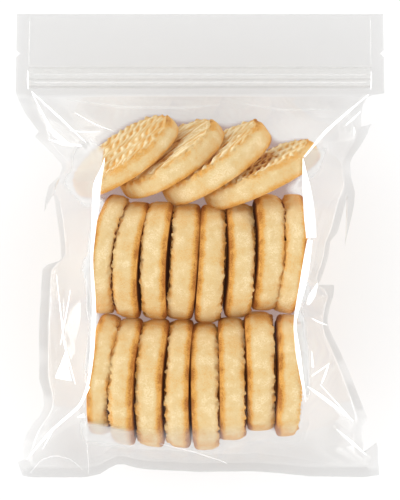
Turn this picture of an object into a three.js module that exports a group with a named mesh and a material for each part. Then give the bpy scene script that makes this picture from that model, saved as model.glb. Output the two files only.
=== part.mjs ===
// A clear press-to-close pouch packed with shortbread biscuits, lying on its back with its front up.
// Two rows of round biscuits stand on edge in it, and four more lean on one another above them, so
// the film is stretched over a block as deep as one biscuit and falls from there to flat seals.
//
// Millimetres. +X is to the pouch's right, +Y runs from the bottom seal to the zip, and +Z is up from
// the table. The origin is on the table under the middle of the pouch.
import * as THREE from "three";

// ---- driving dimensions ---------------------------------------------------------------------------
const POUCH_WIDTH = 200; // the flat film, edge to edge
const POUCH_LENGTH = 254; // bottom edge to top edge, as the filled pouch lies
const SIDE_SEAL = 6; // width of the welded side seals
const BOTTOM_SEAL = 6; // width of the welded bottom seal
const FILM_PAIR = 0.8; // both layers of film where they lie together

const BISCUIT_DIAMETER = 63;
const ROW_COUNT = 8; // biscuits in each upright row
const ROW_WIDTH = 111; // eight biscuits side by side
const ROW_Y = [-71, -6]; // middle of the lower and of the upper row
const FAN_COUNT = 4; // biscuits that lean on one another
const FAN_FIRST = [-39, 47.5]; // middle of the leftmost leaning biscuit
const FAN_STEP = [23.6, -2.6]; // from one leaning biscuit to the next
const FAN_TURN = THREE.MathUtils.degToRad(33); // the leaning biscuits' long way, from +X

const ZIP_Y = 91.5; // middle of the zip
const ZIP_BAND = 12; // width of the zip strip
const ZIP_LENGTH = 184;
const ZIP_FLANGE = 1.2; // thickness of the strip between its ribs
const ZIP_RIB = { width: 1.6, height: 0.6, spacing: 4.7, count: 3 };
const NOTCH_Y = 105; // the tear notches in the side seals
const NOTCH = 2; // their depth
const CLEARANCE = 0.4; // between the zip strip and the film round it

// ---- heights and outlines that follow from them ------------------------------------------------------
const TOP_EDGE = POUCH_LENGTH / 2;
const BOTTOM_EDGE = -POUCH_LENGTH / 2;
const HALF_WIDTH = POUCH_WIDTH / 2;
const HEADER_Y = 82; // where the flat header ends and the film starts to open
const HEADER_Z = 23; // height of the header there
const TOP_Z = 15; // height of the top edge, which droops
const BOTTOM_Z = 9; // height of the bottom seal
const CONTENTS_Z = BISCUIT_DIAMETER + FILM_PAIR; // top of the film over the biscuits
const HALF_ROW = ROW_WIDTH / 2;
const SHOULDER = HALF_ROW + 2.5; // where the film leaves the end biscuits
const CORNER = ZIP_LENGTH / 2 + CLEARANCE; // where the corner creases meet the header and the bottom seal
const WINDOW = [ZIP_Y - ZIP_BAND / 2 - CLEARANCE, ZIP_Y + ZIP_BAND / 2 + CLEARANCE]; // room for the zip strip
const headerSlope = (HEADER_Z - TOP_Z) / (TOP_EDGE - HEADER_Y);

// Each outline is a list of [y, value], with only the points where it turns.
const FRONT_FILM = [
  [BOTTOM_EDGE, BOTTOM_Z],
  [BOTTOM_EDGE + BOTTOM_SEAL, BOTTOM_Z],
  [-113, 37],
  [-105, 50],
  [-92, 60.5],
  [ROW_Y[0], CONTENTS_Z],
  [-38.5, CONTENTS_Z - 1.6],
  [ROW_Y[1], CONTENTS_Z],
  [26, CONTENTS_Z - 3.6],
  [48, CONTENTS_Z - 3],
  [58, 57],
  [67, 45.5],
  [HEADER_Y, HEADER_Z],
  [TOP_EDGE, TOP_Z],
];
// The front film's height where it leaves the end biscuits. From there it crowns towards its middle.
const SHOULDER_Z = [
  [BOTTOM_EDGE, BOTTOM_Z],
  [BOTTOM_EDGE + BOTTOM_SEAL, BOTTOM_Z],
  [-100, 45],
  [-89, 57.5],
  [ROW_Y[0], CONTENTS_Z - 1],
  [-38.5, 55],
  [ROW_Y[1], CONTENTS_Z - 1],
  [22, 56],
  [44, 55],
  [58, 46.5],
  [HEADER_Y, HEADER_Z],
  [TOP_EDGE, TOP_Z],
];
const CROWN = 3; // power of the crown's curve
const BACK_FILM = [
  [BOTTOM_EDGE, BOTTOM_Z],
  [BOTTOM_EDGE + BOTTOM_SEAL, BOTTOM_Z],
  [-86, 0],
  [52, 0],
  [HEADER_Y, HEADER_Z],
  [TOP_EDGE, TOP_Z],
];
const SEAM_HEIGHT = [
  [BOTTOM_EDGE, BOTTOM_Z],
  [BOTTOM_EDGE + BOTTOM_SEAL, BOTTOM_Z],
  [-92, 24],
  [-60, 29],
  [40, 29],
  [HEADER_Y, HEADER_Z],
  [TOP_EDGE, TOP_Z],
];
// The corner creases run from the ends of the bottom seal and of the header to the block of biscuits.
const SHOULDER_X = [
  [BOTTOM_EDGE, CORNER],
  [BOTTOM_EDGE + BOTTOM_SEAL, CORNER],
  [-88, SHOULDER],
  [46, SHOULDER],
  [HEADER_Y, CORNER],
  [TOP_EDGE, CORNER],
];
// The side seals are longer than the way they have to span, so they buckle into teeth.
const LEFT_EDGE = [
  [BOTTOM_EDGE, -99],
  [-119, -HALF_WIDTH],
  [-96, -91],
  [-87, -84.5],
  [-74, -87],
  [-22, -86],
  [-9, -82],
  [-6, -74.5],
  [12, -76.5],
  [17, -84.5],
  [34, -81.5],
  [43, -74.5],
  [53, -82],
  [73, -95],
  [82, -HALF_WIDTH],
  [TOP_EDGE, -HALF_WIDTH],
];
const RIGHT_EDGE = [
  [BOTTOM_EDGE, 98],
  [-106, 97],
  [-95, 91],
  [-70, 82],
  [-45, 71],
  [-20, 72.5],
  [-16, 66],
  [1, 71],
  [4, 79.5],
  [21, 84],
  [42, 82],
  [56, 88.5],
  [66, 94.5],
  [75, 90],
  [80, 92],
  [82, HALF_WIDTH],
  [TOP_EDGE, HALF_WIDTH],
];
const ROUNDING = 2.5; // half the window that rounds the outlines off
const SLOPE_LEAST = 1; // the side slope's least width, beside the zip and the bottom seal
const SEAM_WAVE = { height: 2.2, length: 31 }; // the seals rise and fall as they buckle
// How far the bottom edge is drawn up, as [x, lift]: it waves where the film is gathered.
const BOTTOM_LIFT = [
  [-100, 3],
  [-92, 0],
  [-62, 0.5],
  [-44, 7.5],
  [-20, 4.5],
  [40, 4.5],
  [80, 1],
  [100, 1.5],
];
const LIFT_REACH = 30; // the drawn-up edge levels out over this length

const FILM_SCALLOP = 1.6; // how far the film dips between two biscuits of a row
const FAN_BULGE = 2.6; // how far a leaning biscuit lifts the film

// ---- small helpers ----------------------------------------------------------------------------------
const { lerp, smoothstep } = THREE.MathUtils;

// The value of an outline of straight stretches at a place.
function along(outline, at) {
  const last = outline.length - 1;
  if (at <= outline[0][0]) return outline[0][1];
  if (at >= outline[last][0]) return outline[last][1];
  const i = outline.findIndex(([place]) => place >= at);
  const [a, from] = outline[i - 1];
  const [b, to] = outline[i];
  return lerp(from, to, (at - a) / (b - a));
}

// The same outline with its corners rounded: its mean over a window round the place.
function rounded(outline, at, halfWindow = ROUNDING) {
  const samples = 7;
  let sum = 0;
  for (let i = 0; i < samples; i++) {
    sum += along(outline, at + halfWindow * ((2 * i) / (samples - 1) - 1));
  }
  return sum / samples;
}

// The height of the header's middle plane, carried on past both its ends.
function headerHeight(y) {
  return HEADER_Z - headerSlope * (y - HEADER_Y);
}

// ---- relief of the biscuits under the front film ------------------------------------------------------
// Between two biscuits of a row the film dips, along a cosine with one wave to a biscuit.
function rowDip(x, y) {
  const reach = BISCUIT_DIAMETER / 2;
  const pitch = ROW_WIDTH / ROW_COUNT;
  const wave = (1 - Math.cos((2 * Math.PI * (x + HALF_ROW)) / pitch)) / 2;
  let near = 0;
  for (const centre of ROW_Y) {
    near = Math.max(near, 1 - smoothstep(Math.abs(y - centre), reach * 0.4, reach));
  }
  return Math.abs(x) < HALF_ROW ? FILM_SCALLOP * (1 - wave) * near : 0;
}

// A leaning biscuit lifts the film in a long round-ended bulge that lies along the biscuit.
function fanLift(x, y) {
  let lift = 0;
  for (let i = 0; i < FAN_COUNT; i++) {
    const dx = x - FAN_FIRST[0] - FAN_STEP[0] * i;
    const dy = y - FAN_FIRST[1] - FAN_STEP[1] * i;
    const lengthwise = dx * Math.cos(FAN_TURN) + dy * Math.sin(FAN_TURN);
    const across = dy * Math.cos(FAN_TURN) - dx * Math.sin(FAN_TURN);
    const off = Math.hypot(lengthwise / (BISCUIT_DIAMETER * 0.42), across / 7);
    lift = Math.max(lift, FAN_BULGE * (1 - smoothstep(off, 0.2, 1)));
  }
  return lift;
}

// ---- the pouch ----------------------------------------------------------------------------------------
// Columns across the pouch: seal, slope, the film over the biscuits, slope, seal. Share runs from 0 to 1
// from the outside inwards, and over the biscuits from left to right.
function columns() {
  const [sealSteps, slopeSteps, topSteps] = [1, 4, ROW_COUNT * 4];
  const zone = (kind, side, steps, from, to) => {
    const list = [];
    for (let i = from; i <= to; i++) list.push({ kind, side, share: i / steps });
    return list;
  };
  const flank = (side) => [
    ...zone("seal", side, sealSteps, 0, sealSteps),
    ...zone("slope", side, slopeSteps, 1, slopeSteps),
  ];
  return [...flank(-1), ...zone("top", 0, topSteps, 1, topSteps - 1), ...flank(1).reverse()];
}

// Stations along the pouch, closer together where the film bends. The header has only those that the
// zip's window and the notches need.
function stations() {
  const zones = [
    [BOTTOM_EDGE, BOTTOM_EDGE + BOTTOM_SEAL, 1],
    [BOTTOM_EDGE + BOTTOM_SEAL, -85, 9],
    [-85, 44, 26],
    [44, WINDOW[0], 11],
    [WINDOW[0], WINDOW[1], 1],
    [WINDOW[1], NOTCH_Y - NOTCH, 1],
    [NOTCH_Y - NOTCH, NOTCH_Y + NOTCH, 2],
    [NOTCH_Y + NOTCH, TOP_EDGE, 2],
  ];
  const list = [BOTTOM_EDGE];
  for (const [from, to, count] of zones) {
    for (let i = 1; i <= count; i++) list.push(lerp(from, to, i / count));
  }
  return list;
}

// Where one side's seal ends, where it is welded to the film, and where the film leaves the contents.
function flankAt(side, y) {
  const outer = rounded(side < 0 ? LEFT_EDGE : RIGHT_EDGE, y);
  const edge = outer - side * Math.max(0, NOTCH - Math.abs(y - NOTCH_Y));
  const root = outer - side * SIDE_SEAL;
  const shoulder = side * Math.min(rounded(SHOULDER_X, y), side * root - SLOPE_LEAST);
  return { edge, root, shoulder };
}

// A point of the front film (face 1) or the back film (face -1).
function filmPoint(column, y, face) {
  const { kind, side, share } = column;
  const { edge, root, shoulder } = flankAt(side || 1, y);
  const header = smoothstep(y, HEADER_Y - 14, HEADER_Y);
  const bottom = 1 - smoothstep(y, BOTTOM_EDGE + BOTTOM_SEAL, BOTTOM_EDGE + 30);
  const calm = (1 - header) * (1 - bottom);
  const buckle = Math.sin((2 * Math.PI * y) / SEAM_WAVE.length + side);
  const seam = rounded(SEAM_HEIGHT, y, 5) + SEAM_WAVE.height * calm * buckle;
  const skin = (face * FILM_PAIR) / 2;
  const middle = rounded(face > 0 ? FRONT_FILM : BACK_FILM, y, 4);
  const rim = face > 0 ? rounded(SHOULDER_Z, y, 4) : middle;
  let x;
  let z;
  if (kind === "top") {
    x = lerp(flankAt(-1, y).shoulder, shoulder, share);
    z = lerp(middle, rim, Math.abs(2 * share - 1) ** CROWN) + skin;
    if (face > 0) z += (fanLift(x, y) - rowDip(x, y)) * calm;
  } else if (kind === "slope") {
    x = lerp(root, shoulder, share);
    z = lerp(seam, rim, share) + skin;
  } else {
    x = lerp(edge, root, share);
    z = seam + skin;
  }
  const lift = rounded(BOTTOM_LIFT, x, 5) * (1 - smoothstep(y, BOTTOM_EDGE, BOTTOM_EDGE + LIFT_REACH));
  return new THREE.Vector3(x, y + lift, Math.max(z, face > 0 ? FILM_PAIR : 0));
}

// The closed skin of the pouch: the front film, the back film, and the cut edges that join them, round
// the outside and round the zip's window.
function pouchSkin() {
  const cols = columns();
  const rows = stations();
  const positions = [];
  for (const face of [1, -1]) {
    for (const y of rows) {
      for (const c of cols) positions.push(...filmPoint(c, y, face).toArray());
    }
  }
  const nu = cols.length;
  const nv = rows.length;
  const id = (face, j, i) => (face > 0 ? 0 : nu * nv) + j * nu + i;
  const index = [];
  const quad = (a, b, c, d) => index.push(a, b, c, a, c, d);
  const windowRow = rows.indexOf(WINDOW[0]);
  const isTop = (c) => c.kind === "top" || (c.kind === "slope" && c.share === 1);
  const filled = (j, i) =>
    j >= 0 && j + 1 < nv && i >= 0 && i + 1 < nu && !(j === windowRow && isTop(cols[i]) && isTop(cols[i + 1]));
  // A wall of the skin's own thickness, wherever a filled cell has none beside it.
  const wall = (open, [ja, ia], [jb, ib]) => {
    if (open) quad(id(-1, ja, ia), id(-1, jb, ib), id(1, jb, ib), id(1, ja, ia));
  };
  for (let j = 0; j + 1 < nv; j++) {
    for (let i = 0; i + 1 < nu; i++) {
      if (!filled(j, i)) continue;
      quad(id(1, j, i), id(1, j, i + 1), id(1, j + 1, i + 1), id(1, j + 1, i));
      quad(id(-1, j, i), id(-1, j + 1, i), id(-1, j + 1, i + 1), id(-1, j, i + 1));
      wall(!filled(j - 1, i), [j, i], [j, i + 1]);
      wall(!filled(j + 1, i), [j + 1, i + 1], [j + 1, i]);
      wall(!filled(j, i - 1), [j + 1, i], [j, i]);
      wall(!filled(j, i + 1), [j, i + 1], [j + 1, i + 1]);
    }
  }
  const skin = new THREE.BufferGeometry();
  skin.setAttribute("position", new THREE.Float32BufferAttribute(positions, 3));
  skin.setIndex(index);
  return skin;
}

// ---- the zip ------------------------------------------------------------------------------------------
// The strip's section: a flange with the same ribs on both faces, in the plane across the strip.
function zipSection(band, flange, rib) {
  const points = [];
  const first = (-rib.spacing * (rib.count - 1)) / 2;
  const ribs = [...Array(rib.count).keys()].map((i) => first + rib.spacing * i);
  points.push([-band / 2, flange / 2]);
  for (const centre of ribs) {
    const [a, b] = [centre - rib.width / 2, centre + rib.width / 2];
    points.push([a, flange / 2], [a + 0.3, flange / 2 + rib.height]);
    points.push([b - 0.3, flange / 2 + rib.height], [b, flange / 2]);
  }
  points.push([band / 2, flange / 2]);
  const back = points.map(([across, up]) => [across, -up]).reverse();
  return new THREE.Shape([...points, ...back].map(([across, up]) => new THREE.Vector2(across, up)));
}

// A section drawn across the zip, drawn out along X and centred.
function alongZip(shape, length) {
  const bar = new THREE.ExtrudeGeometry(shape, { depth: length, bevelEnabled: false });
  bar.translate(0, 0, -length / 2);
  bar.applyMatrix4(
    new THREE.Matrix4().makeBasis(
      new THREE.Vector3(0, 1, 0),
      new THREE.Vector3(0, 0, 1),
      new THREE.Vector3(1, 0, 0),
    ),
  );
  return bar;
}

// ---- assembly -----------------------------------------------------------------------------------------
const clearFilm = new THREE.MeshStandardMaterial({
  name: "film",
  color: 0xecebe9,
  roughness: 0.12,
  metalness: 0,
  transparent: true,
  opacity: 0.35,
});
const zipPlastic = new THREE.MeshStandardMaterial({
  name: "zip",
  color: 0xe4e3e1,
  roughness: 0.3,
  metalness: 0,
});

const headerTilt = -Math.atan(headerSlope);

function pouch() {
  const mesh = new THREE.Mesh(pouchSkin(), clearFilm);
  mesh.name = "pouch";
  return mesh;
}

function zipStrip() {
  const section = zipSection(ZIP_BAND, ZIP_FLANGE, ZIP_RIB);
  const mesh = new THREE.Mesh(alongZip(section, ZIP_LENGTH), zipPlastic);
  mesh.name = "zip_strip";
  mesh.position.set(0, ZIP_Y, headerHeight(ZIP_Y));
  mesh.rotation.x = headerTilt;
  return mesh;
}

const pack = new THREE.Group();
pack.name = "biscuit_pack";
pack.add(pouch(), zipStrip());

export default pack;
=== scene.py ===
"""Looks of a clear press-to-close pouch of shortbread biscuits that lies on its back.

Lengths are in millimetres up to the moment a mesh is made, and in metres in Blender. +X is to the
pouch's right, +Y runs from the bottom seal to the zip, and +Z is up from the table.
"""

import logging
import math
from collections.abc import Callable
from dataclasses import dataclass, replace
from enum import Enum, IntEnum

import bpy
import numpy as np
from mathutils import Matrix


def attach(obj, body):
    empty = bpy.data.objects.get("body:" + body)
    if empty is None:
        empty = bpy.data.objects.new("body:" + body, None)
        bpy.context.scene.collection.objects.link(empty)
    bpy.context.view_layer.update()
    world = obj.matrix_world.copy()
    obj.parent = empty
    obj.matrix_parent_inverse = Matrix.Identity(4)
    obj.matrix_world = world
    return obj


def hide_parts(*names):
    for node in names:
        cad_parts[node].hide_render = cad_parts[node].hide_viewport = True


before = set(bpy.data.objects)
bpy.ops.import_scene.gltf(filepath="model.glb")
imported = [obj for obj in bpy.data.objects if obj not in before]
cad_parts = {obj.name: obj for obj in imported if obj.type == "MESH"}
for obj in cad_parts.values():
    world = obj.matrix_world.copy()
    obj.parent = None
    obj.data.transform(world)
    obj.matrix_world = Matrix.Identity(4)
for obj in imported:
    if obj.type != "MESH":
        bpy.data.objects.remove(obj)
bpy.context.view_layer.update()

logging.basicConfig(level=logging.INFO, format="%(message)s")
log = logging.getLogger("biscuit_pack")

MM = 0.001
BODY = "root"

Array = np.ndarray
Piece = bpy.types.Object
Material = bpy.types.Material
NodeTree = bpy.types.NodeTree
Node = bpy.types.Node
Socket = bpy.types.NodeSocket
Rgb = tuple[float, float, float]
Table = tuple[tuple[float, float], ...]
Steps = tuple[tuple[Array, Array], tuple[Array, Array]]

WHITE = (1.0, 1.0, 1.0, 1.0)
NOTHING_BELOW = -100.0  # the height under a sheet where no biscuit is
NOTHING_ABOVE = 200.0  # and the height over it
FIRST_SEED = 17
SEED_STEP = 100


# ---- numbers and noise ---------------------------------------------------------------------------


def along(table: Table, at: Array) -> Array:
    """Straight lines between a table's points, read at many places.

    Args:
        table: Pairs of place and value, in rising order of place.
        at: The places.

    Returns:
        The value at each place.
    """
    points = np.asarray(table)
    return np.interp(at, points[:, 0], points[:, 1])


def rounded(table: Table, at: Array, half_window: float) -> Array:
    """The same lines with rounded corners: the mean over a window round each place.

    Args:
        table: Pairs of place and value, in rising order of place.
        at: The places.
        half_window: Half the window's width.

    Returns:
        The rounded value at each place.
    """
    samples = 7
    offsets = np.linspace(-half_window, half_window, samples)
    return np.mean([along(table, at + d) for d in offsets], axis=0)


def smoothstep(at: Array, low: float, high: float) -> Array:
    """Zero below low, one above high, and 3t^2 - 2t^3 between."""
    t = np.clip((at - low) / (high - low), 0.0, 1.0)
    return t * t * (3.0 - 2.0 * t)


def value_noise(points: Array, seed: int) -> Array:
    """Smooth noise in space: random values on a lattice, blended by smoothstep between its corners.

    Args:
        points: An array of (..., 3) places, one lattice cell to a unit.
        seed: The seed of the lattice's values.

    Returns:
        A value between -1 and 1 at each place.
    """
    size = 32
    lattice = np.random.default_rng(seed).uniform(-1.0, 1.0, (size, size, size))
    low = np.floor(points).astype(int)
    t = points - low
    t = t * t * (3.0 - 2.0 * t)
    total = np.zeros(points.shape[:-1])
    for corner in np.ndindex(2, 2, 2):
        weight = np.prod([t[..., k] if corner[k] else 1.0 - t[..., k] for k in range(3)], axis=0)
        cell = [(low[..., k] + corner[k]) % size for k in range(3)]
        total += weight * lattice[cell[0], cell[1], cell[2]]
    return total


def layered_noise(points: Array, seed: int, layers: int = 3) -> Array:
    """Value noise added up at doubled scale and halved strength, so that fine detail rides on coarse."""
    apart = 7.3
    return sum(value_noise(points * 2.0**k + apart * k, seed + k) / 2.0**k for k in range(layers))


def waved(waves: tuple[tuple[int, float], ...], angle: Array, phases: Array) -> Array:
    """One plus a few cosine waves round a circle.

    Args:
        waves: How often each wave goes up and down, and how strong it is.
        angle: Places round the circle.
        phases: Where each wave starts.

    Returns:
        The factor at each place.
    """
    total = np.ones_like(angle)
    for (count, share), phase in zip(waves, phases):
        total = total + share * np.cos(count * angle + phase)
    return total


# ---- meshes --------------------------------------------------------------------------------------


def make_piece(name: str, points: Array, quads: Array, values: dict[str, Array]) -> Piece:
    """A smooth-shaded mesh object at the origin, from points in millimetres.

    Args:
        name: The object's name.
        points: An array of (n, 3) vertices.
        quads: An array of (m, 4) faces. A face whose last two corners are alike is a triangle.
        values: Named values, one to a vertex, that the materials read.

    Returns:
        The object, linked to the scene.
    """
    mesh = bpy.data.meshes.new(name)
    is_quad = quads[:, 2] != quads[:, 3]
    sizes = np.where(is_quad, 4, 3)
    keep = np.ones(quads.shape, dtype=bool)
    keep[~is_quad, 3] = False
    starts = np.concatenate([[0], np.cumsum(sizes)[:-1]])
    mesh.vertices.add(len(points))
    mesh.vertices.foreach_set("co", (points * MM).astype(np.float32).ravel())
    mesh.loops.add(int(sizes.sum()))
    mesh.loops.foreach_set("vertex_index", quads[keep].astype(np.int32))
    mesh.polygons.add(len(quads))
    mesh.polygons.foreach_set("loop_start", starts.astype(np.int32))
    mesh.polygons.foreach_set("loop_total", sizes.astype(np.int32))
    mesh.polygons.foreach_set("use_smooth", np.ones(len(quads), dtype=bool))
    mesh.update(calc_edges=True)
    for title, numbers in values.items():
        layer = mesh.attributes.new(title, "FLOAT", "POINT")
        layer.data.foreach_set("value", numbers.astype(np.float32).ravel())
    mesh.validate()
    piece = bpy.data.objects.new(name, mesh)
    bpy.context.scene.collection.objects.link(piece)
    return piece


def grid_quads(rows: int, columns: int, wrap: bool = False) -> Array:
    """The faces of a grid of vertices that is stored row by row.

    Args:
        rows: The number of rows.
        columns: The number of columns.
        wrap: True if the last column joins the first.

    Returns:
        An array of (m, 4) vertex numbers, turning with the columns first and the rows second.
    """
    across = np.arange(columns if wrap else columns - 1)
    up = np.arange(rows - 1)[:, None]
    after = (across + 1) % columns
    near, far = up * columns, (up + 1) * columns
    corners = [near + across, near + after, far + after, far + across]
    return np.stack(corners, axis=-1).reshape(-1, 4)


def tube_quads(rows: int, columns: int) -> Array:
    """The faces of a closed tube: rings of vertices one after another, then one point for each end.

    Args:
        rows: The number of rings.
        columns: The number of vertices in a ring.

    Returns:
        An array of (m, 4) vertex numbers. They face outwards if the way round a ring, crossed with the
        way along the tube, points outwards.
    """
    ring = np.arange(columns)
    after = (ring + 1) % columns
    top = (rows - 1) * columns
    pole = np.full(columns, rows * columns)
    start = np.stack([after, ring, pole, pole], axis=-1)
    finish = np.stack([top + ring, top + after, pole + 1, pole + 1], axis=-1)
    return np.concatenate([grid_quads(rows, columns, wrap=True), start, finish])


def with_poles(rings: Array) -> Array:
    """The points or values of a tube's rings as one list, with the first and last rings' means added."""
    flat = rings.reshape(-1, *rings.shape[2:])
    return np.concatenate([flat, [rings[0].mean(axis=0), rings[-1].mean(axis=0)]])


# ---- materials -----------------------------------------------------------------------------------


class Nodes:
    """A short hand for building one shader's node tree."""

    def __init__(self, tree: NodeTree) -> None:
        """Keeps the tree to build in."""
        self.tree = tree

    def add(self, kind: str, **settings: object) -> Node:
        """A new node.

        Args:
            kind: The node's type, without the leading ShaderNode.
            settings: Properties of the node, or numbers for inputs whose names they match.

        Returns:
            The node.
        """
        node = self.tree.nodes.new(f"ShaderNode{kind}")
        for key, value in settings.items():
            setattr(node, key, value)
        return node

    def set(self, node: Node, inputs: dict[object, object]) -> Node:
        """Sets or links a node's inputs.

        Args:
            node: The node.
            inputs: By input name or number, a plain value or the socket to link from.

        Returns:
            The same node.
        """
        for key, value in inputs.items():
            if isinstance(value, Socket):
                self.tree.links.new(value, node.inputs[key])
            else:
                node.inputs[key].default_value = value
        return node

    def math(self, operation: str, *values: object) -> Socket:
        """The result of a Math node on numbers or sockets."""
        node = self.add("Math", operation=operation)
        return self.set(node, dict(enumerate(values))).outputs[0]

    def spread(self, value: Socket, low: float, high: float, to: tuple[float, float]) -> Socket:
        """A value taken from one range to another, smoothly and held at both ends."""
        node = self.add("MapRange", interpolation_type="SMOOTHSTEP")
        return self.set(node, {0: value, 1: low, 2: high, 3: to[0], 4: to[1]}).outputs[0]

    def mix(self, share: object, first: object, second: object) -> Socket:
        """A colour between two others."""
        node = self.add("Mix", data_type="RGBA", clamp_factor=True)
        return self.set(node, {0: share, 6: first, 7: second}).outputs[2]

    def value(self, name: str) -> Socket:
        """One of the mesh's own named values."""
        return self.add("Attribute", attribute_name=name).outputs["Fac"]

    def lit(self) -> Socket:
        """One, but 0 for rays on their way to a light, which film lets through unhindered."""
        return self.math("SUBTRACT", 1.0, self.add("LightPath").outputs["Is Shadow Ray"])

    def noise(self, place: Socket, per_metre: float, detail: float) -> Socket:
        """The value of a Noise Texture.

        Args:
            place: Where it is read, in metres.
            per_metre: Its scale.
            detail: How many finer layers it has.

        Returns:
            The value's socket.
        """
        node = self.add("TexNoise")
        settings = {"Vector": place, "Scale": per_metre, "Detail": detail, "Roughness": 0.6}
        return self.set(node, settings).outputs["Fac"]


def new_group(name: str, inputs: dict[str, float], outputs: dict[str, str]) -> tuple[NodeTree, Nodes]:
    """An empty shader node group with its sockets.

    Args:
        name: The group's name.
        inputs: Number inputs and their usual values.
        outputs: Output names and their socket types.

    Returns:
        The group and its node builder.
    """
    tree = bpy.data.node_groups.new(name, "ShaderNodeTree")
    for title, usual in inputs.items():
        socket = tree.interface.new_socket(name=title, in_out="INPUT", socket_type="NodeSocketFloat")
        socket.default_value = usual
    for title, kind in outputs.items():
        tree.interface.new_socket(name=title, in_out="OUTPUT", socket_type=kind)
    return tree, Nodes(tree)


def mottle_group() -> NodeTree:
    """Soft patches and fine specks over a surface, each as a mask from 0 to 1.

    Returns:
        The node group.
    """
    tree, make = new_group(
        "Mottle",
        {"Patch Scale": 60.0, "Speck Scale": 900.0},
        {"Patches": "NodeSocketFloat", "Specks": "NodeSocketFloat"},
    )
    entry = tree.nodes.new("NodeGroupInput")
    leave = tree.nodes.new("NodeGroupOutput")
    place = make.add("TexCoord").outputs["Object"]
    patches = make.noise(place, 1.0, 3.0)
    specks = make.noise(place, 1.0, 2.0)
    tree.links.new(entry.outputs["Patch Scale"], patches.node.inputs["Scale"])
    tree.links.new(entry.outputs["Speck Scale"], specks.node.inputs["Scale"])
    tree.links.new(make.spread(patches, 0.35, 0.65, (0.0, 1.0)), leave.inputs["Patches"])
    tree.links.new(make.spread(specks, 0.35, 0.7, (0.0, 1.0)), leave.inputs["Specks"])
    return tree


def new_material(name: str) -> tuple[Material, Nodes]:
    """A material with an empty node tree but for its output.

    Args:
        name: The material's name.

    Returns:
        The material and its node builder.
    """
    material = bpy.data.materials.new(name)
    material.use_nodes = True
    tree = material.node_tree
    tree.nodes.clear()
    tree.nodes.new("ShaderNodeOutputMaterial").name = "Out"
    return material, Nodes(tree)


def rgba(colour: Rgb) -> tuple[float, float, float, float]:
    """A colour with full alpha."""
    return (*colour, 1.0)


@dataclass(frozen=True)
class BakedFinish:
    """Matt baked shortbread: pale crumb, browner where the bake_and_shade attribute is high, which also
    carries painted shade in the gaps, in the ridges' valleys and under a neighbour.
    """

    cream: Rgb = (0.82, 0.68, 0.43)
    pale: Rgb = (0.675, 0.495, 0.245)
    golden: Rgb = (0.65, 0.34, 0.085)
    brown: Rgb = (0.36, 0.125, 0.022)
    # painted shade: the colour of the faces in the gaps between biscuits and under a neighbour
    dark: Rgb = (0.10, 0.030, 0.005)
    roughness: float = 0.75
    sheen: float = 0.1
    painted_glow: float = 0.16  # painted glow in the crumb's own colour, which fills the shadows
    patch_scale: float = 95.0  # per metre
    patch_share: float = 0.42
    speck_scale: float = 1500.0
    speck_share: float = 0.24
    crumb_scale: float = 1900.0
    crumb_depth: float = 0.00026
    crumb_share: float = 0.9

    def build(self, mottle: NodeTree) -> Material:
        """The material.

        Args:
            mottle: The node group that gives patches and specks.

        Returns:
            The material.
        """
        material, make = new_material("baked_shortbread")
        marks = make.add("Group", node_tree=mottle)
        make.set(marks, {"Patch Scale": self.patch_scale, "Speck Scale": self.speck_scale})
        # the baked tone, with painted shade in the gaps, the valleys and under a neighbour
        uneven = make.value("bake_and_shade")
        for title, share in (("Patches", self.patch_share), ("Specks", self.speck_share)):
            off = make.math("SUBTRACT", marks.outputs[title], 0.5)
            uneven = make.math("ADD", uneven, make.math("MULTIPLY", off, share))
        tone = rgba(self.cream)
        browner = ((self.pale, -0.45, 0.05), (self.golden, 0.05, 0.62), (self.brown, 0.55, 1.15))
        for colour, low, high in (*browner, (self.dark, 1.20, 1.80)):
            tone = make.mix(make.spread(uneven, low, high, (0.0, 1.0)), tone, rgba(colour))
        grains = make.noise(make.add("TexCoord").outputs["Object"], self.crumb_scale, 3.0)
        bump = make.add("Bump")
        make.set(bump, {"Height": grains, "Distance": self.crumb_depth, "Strength": self.crumb_share})
        shader = make.add("BsdfPrincipled")
        make.set(shader, {"Base Color": tone, "Roughness": self.roughness, "Normal": bump.outputs[0]})
        make.set(shader, {"Specular IOR Level": self.sheen})
        # painted glow: emission of the crumb's own colour, filling the shadows
        make.set(shader, {"Emission Color": tone, "Emission Strength": self.painted_glow})
        make.set(material.node_tree.nodes["Out"], {"Surface": shader.outputs[0]})
        return material


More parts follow.
